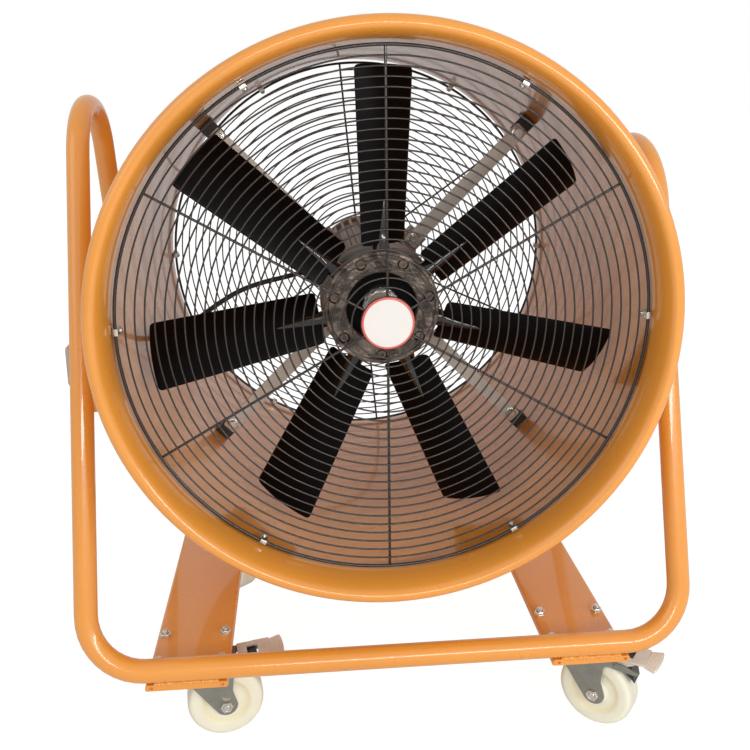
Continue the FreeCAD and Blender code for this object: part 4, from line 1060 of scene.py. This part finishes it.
class VENTILATOR_OT_lead(Operator):
    """Motor lead on one smooth curve, with its glands and grommet"""
    bl_idname = "ventilator.lead"
    bl_label = "Motor lead"

    def execute(self, context):
        places = [DRUM + Vector(p) * MM for p in LEAD]
        curve = bpy.data.curves.new("motor_lead_route", "CURVE")
        curve.dimensions = "3D"
        curve.resolution_u = 16
        curve.bevel_depth = LEAD_RADIUS
        curve.bevel_resolution = 6
        curve.use_fill_caps = True
        spline = curve.splines.new("NURBS")
        spline.points.add(len(places) - 1)
        for point, place in zip(spline.points, places):
            point.co = (*place, 1)
        spline.order_u = 3
        spline.use_endpoint_u = True
        curve.materials.append(finish("rubber"))
        obj = linked("motor_lead_sheath", curve)
        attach(obj, "frame")
        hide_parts("motor_lead")

        flats = 0.0165
        parts = []
        for base, way, length in ((places[0] - X * 0.009, X, 0.009), (places[-1] + X * 0.012, -X, 0.012)):
            cap = [(0.0078, 0), (0.0078, length * 0.35), (0.0066, length * 0.55), (0.0052, length * 0.6)]
            parts += [hexagon(flats, length * 0.4, base, way), spun(cap, 24, base + way * length * 0.4, way)]
        grommet = [(0.0062, -0.004), (0.0098, -0.004), (0.0098, -0.0018), (0.0088, -0.0012)]
        wall, run = lead_crossing()
        parts.append(lathe(grommet + [(r, -y) for r, y in grommet[::-1]], 32, wall, run))
        low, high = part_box("control_box")
        side = Vector((high[0] - 0.025, high[1], (low[2] + high[2]) / 2))
        plug = [(0.0078, 0), (0.0078, 0.004), (0.0066, 0.006), (0.0048, 0.007), (0.0046, 0.004), (0.0004, 0.004)]
        parts += [hexagon(flats, 0.005, side, Y), spun(plug, 24, side + Y * 0.005, Y)]
        add_piece("lead_glands", joined(*parts), "frame", "moulding", ("cable_glands",), 0.0003)
        return {"FINISHED"}


# Pieces: frame


def bar_height():
    return middle("frame_bar_front").z


def frame_side(f, side_x):
    """Smooth centreline from the front bar's end over the loop to the rear bar's end."""
    bar_z = bar_height()
    lean = math.atan(f.lean)
    reach = f.half_depth + f.lean * (DRUM.z - bar_z)
    radius = f.left_loop if side_x < 0 else f.right_loop
    spread_y = radius * (math.sqrt(1 + f.lean**2) - f.lean)
    top = DRUM.z + (f.half_depth - spread_y) / f.lean
    x = DRUM.x + side_x * f.half_width
    out = X * side_x
    corners = []
    for side_y in (-1, 1):
        up = Vector((0, -side_y * math.sin(lean), math.cos(lean)))
        start = Vector((x, DRUM.y + side_y * reach - f.forward, bar_z)) - out * f.corner
        corners.append(arc(start + up * f.corner, start, out, QUARTER, 10))
    centre = Vector((x, DRUM.y - f.forward, top - radius))
    up = Vector((0, math.sin(lean), math.cos(lean)))
    start = centre + Vector((0, -math.cos(lean), math.sin(lean))) * radius
    return corners[0] + arc(centre, start, up, math.pi - 2 * lean, 24) + corners[1][::-1]


class VENTILATOR_OT_frame(Operator):
    """Bent tube frame: two floor bars and two sides with handle loops"""
    bl_idname = "ventilator.frame"
    bl_label = "Tube frame"

    def execute(self, context):
        f = context.scene.ventilator_frame
        for side_x, side in ((-1, "left"), (1, "right")):
            nodes = [name + side for name in ("frame_leg_front_", "frame_leg_rear_", "handle_loop_")]
            add_piece("frame_side_" + side, tube(frame_side(f, side_x), f.tube, 40),
                      "frame", "orange", nodes, 0, 50)
        overlap = 0.0015
        reach = X * (f.half_width - f.corner + overlap)
        for name in ("front", "rear"):
            bar = middle("frame_bar_" + name)
            part = tube([bar + reach * along for along in (-1, -0.5, 0.5, 1)], f.tube, 40)
            add_piece("frame_bar_tube_" + name, part, "frame", "orange", ("frame_bar_" + name,), 0, 50)
        eased("drum_lugs", "frame", "orange", 0.0008)
        return {"FINISHED"}


BEAD_INPUTS = {"Count": "i", "Start": "v", "Step": "v", "Drop": "f", "Seed": "i", "Material": "m"}


def weld_bead(t, i):
    """Overlapping drops along a row of points, uneven in size."""
    links = {"Count": i["Count"], "Start Location": i["Start"], "Offset": i["Step"]}
    line = node(t, "GeometryNodeMeshLine", links).outputs[0]
    round_drop = {"Segments": 10, "Rings": 6, "Radius": i["Drop"]}
    drop = node(t, "GeometryNodeMeshUVSphere", round_drop).outputs[0]
    range_of_sizes = {2: 0.6, 3: 1.35, "Seed": i["Seed"]}
    grow = node(t, "FunctionNodeRandomValue", range_of_sizes, data_type="FLOAT").outputs[1]
    return on_points(t, line, drop, Scale=grow)


def channel_part(f, low, high):
    """Folded channel, open below, that ends a little in front of each floor bar."""
    sheet, fold = 0.003, 0.005
    ends = [middle("frame_bar_" + name).y for name in ("front", "rear")]
    start, length = ends[0] - f.overhang, ends[1] - ends[0] + 2 * f.overhang

    def arch(left, right, top, radius, steps):
        corners = [(left, start, low[2]), (left, start, top), (right, start, top), (right, start, low[2])]
        return rounded(corners, [0, radius, radius, 0], steps)

    outer = arch(low[0], high[0], high[2], fold, 5)
    inner = arch(high[0] - sheet, low[0] + sheet, high[2] - sheet, fold - sheet, 4)
    return slab(outer + inner, Y * length)


class VENTILATOR_OT_channels(Operator):
    """Folded base channels with closed ends, weld beads and caster nuts"""
    bl_idname = "ventilator.channels"
    bl_label = "Base channels"

    def execute(self, context):
        f = context.scene.ventilator_frame
        top = bar_height() - f.tube
        seed = 3
        for side in ("left", "right"):
            channel = "base_channel_" + side
            low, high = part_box(channel)
            add_piece("base_channel_fold_" + side, channel_part(f, low, high),
                      "frame", "orange", (channel,), 0.0004)
            for name, face in (("front", -1), ("rear", 1)):
                y = middle("frame_bar_" + name).y
                self.lip(f, "base_channel_lip_%s_%s" % (name, side), channel, y, face, low, high)
                for off, edge in ((-1, "a"), (1, "b")):
                    seed += 1
                    self.bead("weld_%s_%s_%s" % (name, side, edge), seed,
                              Vector((low[0], y + off * 0.0080, top + 0.0006)), high[0] - low[0])
        self.bolts(context.scene.ventilator_caster, top)
        return {"FINISHED"}

    def lip(self, f, name, channel, y, face, low, high):
        """Folded end of a channel, with a blind relief hole at each side."""
        side, half, inset, over = 0.0022, 0.0018, 0.001, 0.0002
        hole, height, above, depth = 0.0024, 0.0044, 0.003, 0.0008
        end = y + face * (f.overhang - inset)
        lip = bare(name, block((low[0] + side, end - half, low[2]),
                               (high[0] - side, end + half, high[2] + over)))
        spots = [Vector((x, end, low[2] + height)) for x in (low[0] + 0.0075, high[0] - 0.0065)]
        out = Y * face
        cut_away(lip, joined(*[rod(hole, spot + out * above, spot - out * depth, 16) for spot in spots]))
        dress(lip, "frame", "orange", (), 0.0004, 32, like=channel)

    def bead(self, name, seed, start, width):
        """Row of weld drops across a channel, under a floor bar."""
        count, inset = 40, 0.013
        bead = grown(name, weld_bead, BEAD_INPUTS, {
            "Count": count, "Start": tuple(start + X * inset), "Step": ((width - 2 * inset) / (count - 1), 0, 0),
            "Drop": 0.0025, "Seed": seed, "Material": finish("orange")})
        dress(bead, "frame", "orange", (), 0, 60, like="base_channel_left")

    def bolts(self, c, top):
        """Nuts with bolt ends on the channels and bolt heads under the caster plates."""
        flats, across, along = 0.013, 0.040, 0.030
        end = [(0.0040, 0), (0.0040, 0.0086), (0.0034, 0.0092), (0.0005, 0.0092)]
        parts = []
        for name in CORNERS:
            centre = middle("caster_plate_" + name)
            for sx, sy in SIGNS:
                spot = Vector((centre.x + sx * across, centre.y + sy * along, top))
                under = Vector((spot.x, spot.y, c.height - c.sheet))
                parts += [nut(flats, 0.0052, spot, Z), spun(end, 20, spot, Z),
                          bolt_head(flats, 0.005, under, -Z)]
        add_piece("caster_bolt_set", joined(*parts), "frame", "bright", ("caster_bolts",), 0.0002)


# Pieces: casters, each drawn with its swivel axis on Z and its trail along X

RACE_DEPTH = 0.0093
CROWN_DROP = 0.0186
FORK_BACK, FORK_FRONT = -0.021, 0.056


def caster_place(name):
    """Turns a caster's drawing to its trail and puts it on its swivel axis."""
    axis = middle("caster_plate_" + name)
    wheel = middle("caster_wheel_" + name)
    along = Vector((wheel.x - axis.x, wheel.y - axis.y, 0)).normalized()
    across = Z.cross(along)
    return Matrix((
        (along.x, across.x, 0, axis.x),
        (along.y, across.y, 0, axis.y),
        (0, 0, 1, 0),
        (0, 0, 0, 1),
    ))


def fork_outline(c, braked):
    """Cheek of the fork seen from the side: straight back edge, round boss, hollow front edge."""
    top = c.height - CROWN_DROP
    hub = Vector((c.trail, 0, c.wheel))
    corner = Vector((FORK_BACK, 0, top))
    away = corner - hub
    touch = math.atan2(away.z, away.x) + math.acos(c.boss / away.length)
    turns = [touch + (2 * math.pi - touch) * k / 12 for k in range(13)]
    points = [corner] + [hub + Vector((math.cos(a), 0, math.sin(a))) * c.boss for a in turns]
    radii = [0.004] + [0] * len(turns) + [0.012]
    edge = c.trail + c.boss
    points.append((edge - 0.006, 0, c.wheel + 0.020))
    if braked:
        nose, low = 0.0985, top - 0.0092
        points += [(edge - 0.003, 0, low), (nose - 0.005, 0, low), (nose, 0, top - 0.005), (0.072, 0, top)]
        radii += [0.008, 0.006, 0.0014, 0.02]
    else:
        points += [(FORK_FRONT, 0, top - 0.012), (FORK_FRONT, 0, top)]
        radii += [0.010, 0.004]
    return rounded(points, radii, 6)


def fork_part(c, braked):
    inner = c.gap / 2
    outer = inner + c.sheet
    outline = fork_outline(c, braked)
    cheeks = [slab([p + Y * start for p in outline], Y * c.sheet) for start in (-outer, inner)]
    top = c.height - CROWN_DROP
    low = top - c.sheet
    crown = rounded([(FORK_BACK, -outer, low), (FORK_FRONT, -outer, low), (FORK_FRONT, outer, low),
                     (FORK_BACK, outer, low)], [0.006, 0.002, 0.002, 0.006], 5)
    depth = c.height - c.sheet - RACE_DEPTH - top
    race = [(0.0072, 0), (0.0245, 0), (0.0265, 0.0012), (0.0262, 0.0028), (0.0240, depth), (0.0072, depth)]
    return joined(*cheeks, slab(crown, Z * c.sheet), lathe(race, 56, Z * top, Z))


def plate_part(c):
    """Top plate with its pressed race and riveted pin."""
    low = c.height - c.sheet
    half_x, half_y, race_depth, tip = 0.047, 0.038, 0.009, 0.0005
    bottom = rounded([(-half_x, -half_y, low), (half_x, -half_y, low), (half_x, half_y, low),
                      (-half_x, half_y, low)], 0.006, 5)
    mid = [Vector((p.x, p.y, c.height - 0.0025)) for p in bottom]
    top = [Vector((p.x * 0.965, p.y, c.height)) for p in bottom]
    race = [(0.0030, 0), (0.024, 0), (0.0262, 0.0012), (0.0272, 0.0035), (0.0266, 0.0072), (0.0290, race_depth),
            (0.0030, race_depth)]
    pin_low = c.height - CROWN_DROP - c.sheet - 0.003
    pin_top = low - pin_low
    pin = [(tip, 0), (0.0095, 0), (0.0109, 0.0010), (0.0106, 0.0027), (0.0069, 0.0027), (0.0069, pin_top),
           (tip, pin_top)]
    return joined(skin([bottom, mid, top]), lathe(race, 56, Z * (low - race_depth), Z),
                  spun(pin, 32, Z * pin_low, Z))


def wheel_part(c):
    """Solid wheel: round shoulders, a dished side and a hub boss."""
    half, shoulder = c.width / 2, 0.009
    turns = [QUARTER * i / 8 for i in range(9)]
    right = [(c.wheel + shoulder * (math.cos(a) - 1), half + shoulder * (math.sin(a) - 1)) for a in turns]
    right += [(r, half + y) for r, y in (
        (0.0345, 0), (0.0325, -0.0003), (0.0295, -0.0022), (0.0272, -0.0030), (0.0190, -0.0030),
        (0.0172, -0.0024), (0.0158, 0.0014), (0.0148, 0.0020), (0.0052, 0.0020))]
    left = [(r, -y) for r, y in right[::-1]]
    return lathe(right + left, 96, Vector((c.trail, 0, c.wheel)))


def nylon(context, name):
    """Cream nylon that yellows toward the dish, by distance from the axle."""
    base = context.scene.ventilator_colours.nylon
    material, tree, shader = new_material("Cream Nylon " + name)
    place = object_place(tree)
    away = vector_node(tree, "DISTANCE", {0: place, 1: tuple(middle("caster_wheel_" + name))}, "Value")
    dish = math_node(tree, "MULTIPLY", spread(tree, away, 0.027, 0.031), spread(tree, away, 0.038, 0.034))
    grime = noise(tree, place, 55.0, 5.0)
    speckle = noise(tree, place, 700.0, 2.0)
    cream = mix_colour(tree, spread(tree, grime, 0.4, 0.75, 0.0, 0.35), scaled(base, 1), scaled(base, 0.86))
    warm = (base[0] * 0.98, base[1] * 0.93, base[2] * 0.72, 1)
    colour = mix_colour(tree, math_node(tree, "MULTIPLY", dish, 0.75), cream, warm)
    colour = mix_colour(tree, spread(tree, away, 0.0495, 0.0502, 0.0, 0.25), colour, (0.35, 0.32, 0.27, 1))
    tree.links.new(colour, shader.inputs["Base Color"])
    tree.links.new(spread(tree, grime, 0.3, 0.7, 0.34, 0.48), shader.inputs["Roughness"])
    shader.inputs["Subsurface Weight"].default_value = 0.12
    shader.inputs["Subsurface Radius"].default_value = (0.006, 0.005, 0.004)
    bump(tree, shader, speckle, 0.15, 0.0003)
    return material


def axle_part(c):
    """Axle bolt with its head on one cheek, and its nut and end on the other."""
    inner = Y * (c.gap / 2 + c.sheet)
    centre = Vector((c.trail, 0, c.wheel))
    near, far, head = centre - inner, centre + inner, 0.0058
    end = [(0.0043, 0), (0.0043, 0.0060), (0.0037, 0.0065), (0.0005, 0.0065)]
    return joined(rod(0.0049, near, far), nut(0.0150, head, near, -Y), spun(end, 20, near, -Y),
                  bolt_head(0.016, head, far, Y))


class VENTILATOR_OT_casters(Operator):
    """Swivel casters: plates, forks, wheels and axles"""
    bl_idname = "ventilator.casters"
    bl_label = "Casters"

    def execute(self, context):
        c = context.scene.ventilator_caster
        for name in CORNERS:
            place = caster_place(name)
            upright = Matrix.Translation(place.translation)
            fork = fork_part(c, name.startswith("front"))
            for kind, part, matrix, body, material, edge, sharp in (
                    ("plate", plate_part(c), upright, "frame", "zinc", 0.0004, 38),
                    ("fork", fork, place, "fork_" + name, "zinc", 0.0006, 38),
                    ("wheel", wheel_part(c), place, "wheel_" + name, nylon(context, name), 0, 50),
                    ("axle", axle_part(c), place, "fork_" + name, "bright", 0.0002, 38)):
                add_piece("caster_%s_%s" % (name, kind), moved(part, matrix), body, material,
                          ("caster_%s_%s" % (kind, name),), edge, sharp)
        return {"FINISHED"}


def pedal_part(c):
    """Pressed lever with a window and side flanges, its ribbed foot pad and its shoe."""
    pz = c.height - c.pivot_drop
    base = pz + 0.0055
    back, end, rise, sheet, half = 0.057, 0.1005, 0.003, 0.0025, 0.0195
    window, window_half = (0.0695, 0.0845), 0.010

    def lift(x):
        return base + rise * (x - back) / (end - back)

    parts = []
    for x0, x1, y0, y1 in ((back, window[0], -half, half), (window[1], end, -half, half),
                           (*window, -half, -window_half), (*window, window_half, half)):
        strip = [(x0, y0, lift(x0)), (x1, y0, lift(x1)), (x1, y1, lift(x1)), (x0, y1, lift(x0))]
        parts.append(slab(strip, Z * sheet))
    foot_z, front = pz - 0.0055, 0.089
    side = rounded([(back, 0, foot_z), (window[0], 0, foot_z), (front, 0, base + 0.001), (front, 0, base + 0.0015),
                    (back, 0, base + 0.0012)], [0.004, 0.004, 0, 0, 0], 4)
    parts += [slab([p + Y * y for p in side], Y * sheet) for y in (-half, half - sheet)]
    pivot, pin = Vector((c.pivot_reach, 0, pz)), Y * (c.gap / 2 + c.sheet)
    parts.append(rod(0.0029, pivot - pin, pivot + pin, 20))

    reach, bulge, wide, narrow = end + 0.0144, 0.0036, 0.023, 0.017
    turns = [math.radians(-75 + 15 * k) for k in range(11)]
    foot = [(end, -narrow), (reach, -wide)] + [(reach + bulge * math.cos(a), wide * math.sin(a)) for a in turns]
    foot += [(reach, wide), (end, narrow)]
    low = base + rise + sheet - 0.005
    ribs, thin = [], 0.0006
    for k in range(5):
        x, w = end + 0.003 + 0.0028 * k, 0.0145 + 0.0013 * k
        ribs.append(block((x - thin, -w, low + 0.004), (x + thin, w, low + 0.005)))
    pad = slab([Vector((x, y, low)) for x, y in foot], Z * 0.0046)
    return joined(*parts), joined(pad, *ribs), brake_shoe(c, base - sheet)


def brake_shoe(c, top):
    """Shoe whose hollow face fits the wheel when the pedal is pressed."""
    start, length, half, play = c.pivot_reach + 0.003, 0.016, 0.012, 0.0006
    radius = c.wheel + play
    steps = [start + length * k / 8 for k in range(9)]
    hollow = [(x, c.wheel + math.sqrt(max(radius**2 - (x - c.trail)**2, 0))) for x in steps]
    outline = [Vector((x, -half, z)) for x, z in hollow + [(start + length, top), (start, top)]]
    pivot = Vector((c.pivot_reach, 0, c.height - c.pivot_drop))
    raised = Matrix.Translation(pivot) @ Matrix.Rotation(math.radians(-12), 4, "Y") @ Matrix.Translation(-pivot)
    return moved(slab(outline, Y * 2 * half), raised)


class VENTILATOR_OT_pedals(Operator):
    """Brake pedals of the front casters"""
    bl_idname = "ventilator.pedals"
    bl_label = "Brake pedals"

    def execute(self, context):
        lever, pad, shoe = pedal_part(context.scene.ventilator_caster)
        for name in CORNERS[:2]:
            for kind, part, material, replaced, edge in (
                    ("lever", lever, "pedal", ("brake_pedal_" + name,), 0.0003),
                    ("pad", pad, "pad", (), 0.0006), ("shoe", shoe, "moulding", (), 0.0003)):
                add_piece("brake_%s_%s" % (name, kind), moved(part, caster_place(name)), "pedal_" + name,
                          material, replaced, edge, like="brake_pedal_" + name)
        return {"FINISHED"}


# Pieces: control box


def inset_ring(outline, x, inset):
    """The outline at one x, pulled toward its middle."""
    cy = sum(p.y for p in outline) / len(outline)
    cz = sum(p.z for p in outline) / len(outline)
    half_y = max(abs(p.y - cy) for p in outline)
    half_z = max(abs(p.z - cz) for p in outline)
    return [Vector((x, cy + (p.y - cy) * (1 - inset / half_y), cz + (p.z - cz) * (1 - inset / half_z)))
            for p in outline]


def upright(middle_point, half_y, half_z, radius, steps):
    """Rounded outline across X about a point."""
    y, z = middle_point.y, middle_point.z
    return rounded([(0, y - half_y, z - half_z), (0, y + half_y, z - half_z), (0, y + half_y, z + half_z),
                    (0, y - half_y, z + half_z)], radius, steps)


class VENTILATOR_OT_box(Operator):
    """Control box with a screwed lid, rocker switch and its bracket"""
    bl_idname = "ventilator.box"
    bl_label = "Control box"

    def execute(self, context):
        low, high = (Vector(v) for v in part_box("control_box"))
        lid, lid_back = (Vector(v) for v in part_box("control_box_lid"))
        mid = (low + high) / 2
        outline = upright(mid, (high.y - low.y) / 2, (high.z - low.z) / 2, 0.004, 6)
        step, edge, lip = 0.0006, 0.0008, 0.0012
        half_y, half_z = 0.0073, 0.0117
        pocket = block((lid.x - 0.004, mid.y - half_y, mid.z - half_z),
                       (lid.x + 0.0065, mid.y + half_y, mid.z + half_z))
        case = bare("control_case", skin([inset_ring(outline, x, inset) for x, inset in (
            (high.x, step), (high.x - step, 0), (low.x + edge, 0), (low.x, step))]))
        cut_away(case, pocket)
        dress(case, "frame", "case", ("control_box",), 0, 35)

        hole, depth = 0.0036, 0.0022
        head = [(0.0030, 0), (0.0030, 0.0008), (0.0022, 0.0016), (0.0005, 0.0018)]
        spots = [Vector((lid.x, mid.y + sy * 0.047, mid.z + sz * 0.0185)) for sy, sz in SIGNS]
        cover = bare("control_lid", skin([inset_ring(outline, x, inset) for x, inset in (
            (lid_back.x, step), (lid_back.x - edge, 0), (lid.x + lip, 0), (lid.x, lip))]))
        cut_away(cover, joined(pocket, *[rod(hole, spot - X * 0.002, spot + X * depth) for spot in spots]))
        dress(cover, "frame", "case", ("control_box_lid",), 0, 35)
        screws = [spun(head, 20, spot + X * depth, -X) for spot in spots]
        add_piece("control_lid_screws", joined(*screws), "frame", "zinc", (), 0, 40, like="caster_bolts")

        rim, front = 0.0018, -0.0012
        bezel = []
        for grow, x in ((rim, 0), (rim, front), (0, front), (0, 0.003)):
            ring = upright(mid, 0.0072 + grow, 0.0116 + grow, 0.0008, 3)
            bezel.append([Vector((lid.x + x, p.y, p.z)) for p in ring])
        add_piece("switch_bezel", skin(bezel, closed=True), "frame", "moulding", (), 0, 35,
                  like="switch_rocker")
        eased("switch_rocker", "rocker", "moulding", 0.0005)
        eased("box_bracket", "frame", "orange", 0.0006)
        return {"FINISHED"}


# Stage


def emptied(block):
    """Node tree of a new material or world, without its first nodes."""
    block.use_nodes = True
    block.node_tree.nodes.clear()
    return block.node_tree


class VENTILATOR_OT_stage(Operator):
    """Pale floor, soft light and a camera at the photograph's place"""
    bl_idname = "ventilator.stage"
    bl_label = "Stage"

    def execute(self, context):
        s = context.scene.ventilator_stage
        context.scene.view_settings.view_transform = "Standard"
        self.floor()
        self.world(context.scene, s)
        self.lamp("Key Light", s.key, (3.2, 0.22), (1.1, -2.3, 1.1))
        self.lamp("Fill Light", s.fill, (2.2, 2.2), (-2.4, -1.8, 2.2))
        context.scene.camera = self.camera(s)
        return {"FINISHED"}

    def camera(self, s):
        camera = bpy.data.cameras.new("Photo Camera")
        camera.sensor_width = 36
        camera.lens = s.lens
        camera.shift_y = s.shift
        camera.clip_start = 0.05
        obj = linked("Photo Camera", camera)
        flat = Vector((math.sin(s.yaw), math.cos(s.yaw), 0))
        back = Z * math.sin(s.pitch) - flat * math.cos(s.pitch)
        right = Vector((math.cos(s.yaw), -math.sin(s.yaw), 0))
        up = back.cross(right)
        side = right * math.cos(s.roll) - up * math.sin(s.roll)
        top = right * math.sin(s.roll) + up * math.cos(s.roll)
        place = Vector((DRUM.x, DRUM.y, 0)) + Vector(s.camera_place)
        obj.matrix_world = Matrix((*zip(side, top, back, place), (0, 0, 0, 1)))
        return obj

    def floor(self):
        half = 30
        mesh = bpy.data.meshes.new("studio_floor")
        corners = [(-half, -half, 0), (half, -half, 0), (half, half, 0), (-half, half, 0)]
        mesh.from_pydata(corners, [], [(0, 1, 2, 3)])
        material = bpy.data.materials.new("Studio Floor")
        tree = emptied(material)
        matt = node(tree, "ShaderNodeBsdfDiffuse", {"Color": (0.85, 0.85, 0.85, 1)}).outputs[0]
        glow = node(tree, "ShaderNodeEmission", {"Color": (1, 1, 1, 1), "Strength": 1.26}).outputs[0]
        seen = node(tree, "ShaderNodeLightPath").outputs["Is Camera Ray"]
        mixed = node(tree, "ShaderNodeMixShader", {0: math_node(tree, "MULTIPLY", seen, 0.72), 1: matt, 2: glow})
        node(tree, "ShaderNodeOutputMaterial", {"Surface": mixed.outputs[0]})
        mesh.materials.append(material)
        linked("studio_floor", mesh)

    def world(self, scene, s):
        world = bpy.data.worlds.new("White Studio")
        scene.world = world
        tree = emptied(world)
        path = node(tree, "ShaderNodeLightPath").outputs
        glossy = math_node(tree, "MULTIPLY", path["Is Glossy Ray"], 0.35)
        seen = math_node(tree, "MAXIMUM", path["Is Camera Ray"], glossy)
        dim, white = (
            node(tree, "ShaderNodeBackground", {"Color": (1, 1, 1, 1), "Strength": strength}).outputs[0]
            for strength in (s.sky, 1.0))
        mixed = node(tree, "ShaderNodeMixShader", {0: seen, 1: dim, 2: white})
        node(tree, "ShaderNodeOutputWorld", {"Surface": mixed.outputs[0]})

    def lamp(self, name, strength, size, place):
        light = bpy.data.lights.new(name, "AREA")
        light.shape = "RECTANGLE"
        light.size, light.size_y = size
        light.energy = strength
        place, target = Vector(place), Z * 0.5
        obj = linked(name, light)
        facing = (target - place).to_track_quat("-Z", "Y").to_matrix().to_4x4()
        obj.matrix_world = Matrix.Translation(place) @ facing


OPERATORS = (
    VENTILATOR_OT_stage,
    VENTILATOR_OT_drum,
    VENTILATOR_OT_guards,
    VENTILATOR_OT_disc,
    VENTILATOR_OT_clips,
    VENTILATOR_OT_blades,
    VENTILATOR_OT_hub,
    VENTILATOR_OT_motor,
    VENTILATOR_OT_arms,
    VENTILATOR_OT_lead,
    VENTILATOR_OT_frame,
    VENTILATOR_OT_channels,
    VENTILATOR_OT_casters,
    VENTILATOR_OT_pedals,
    VENTILATOR_OT_box,
)
GROUPS = (
    ("ventilator_drum", VentilatorDrum),
    ("ventilator_guard", VentilatorGuard),
    ("ventilator_impeller", VentilatorImpeller),
    ("ventilator_frame", VentilatorFrame),
    ("ventilator_caster", VentilatorCaster),
    ("ventilator_colours", VentilatorColours),
    ("ventilator_stage", VentilatorStage),
)


class VENTILATOR_PT_sidebar(Panel):
    """Lists the pieces and their settings"""
    bl_idname = "VENTILATOR_PT_sidebar"
    bl_label = "Drum Ventilator"
    bl_space_type = "VIEW_3D"
    bl_region_type = "UI"
    bl_category = "Ventilator"

    def draw(self, context):
        for operator in OPERATORS:
            self.layout.operator(operator.bl_idname)
        for name, group in GROUPS:
            column = self.layout.column(heading=name.split("_")[1].title())
            for key in group.__annotations__:
                column.prop(getattr(context.scene, name), key)


def register():
    for name, group in GROUPS:
        bpy.utils.register_class(group)
        setattr(bpy.types.Scene, name, PointerProperty(type=group))
    for operator in OPERATORS:
        bpy.utils.register_class(operator)
    bpy.utils.register_class(VENTILATOR_PT_sidebar)


def unregister():
    bpy.utils.unregister_class(VENTILATOR_PT_sidebar)
    for operator in reversed(OPERATORS):
        bpy.utils.unregister_class(operator)
    for name, group in reversed(GROUPS):
        delattr(bpy.types.Scene, name)
        bpy.utils.unregister_class(group)


def main():
    register()
    for operator in OPERATORS:
        group, name = operator.bl_idname.split(".")
        result = getattr(getattr(bpy.ops, group), name)()
        if "FINISHED" not in result:
            raise RuntimeError(operator.bl_label + " didn't finish")


if __name__ == "__main__":
    main()
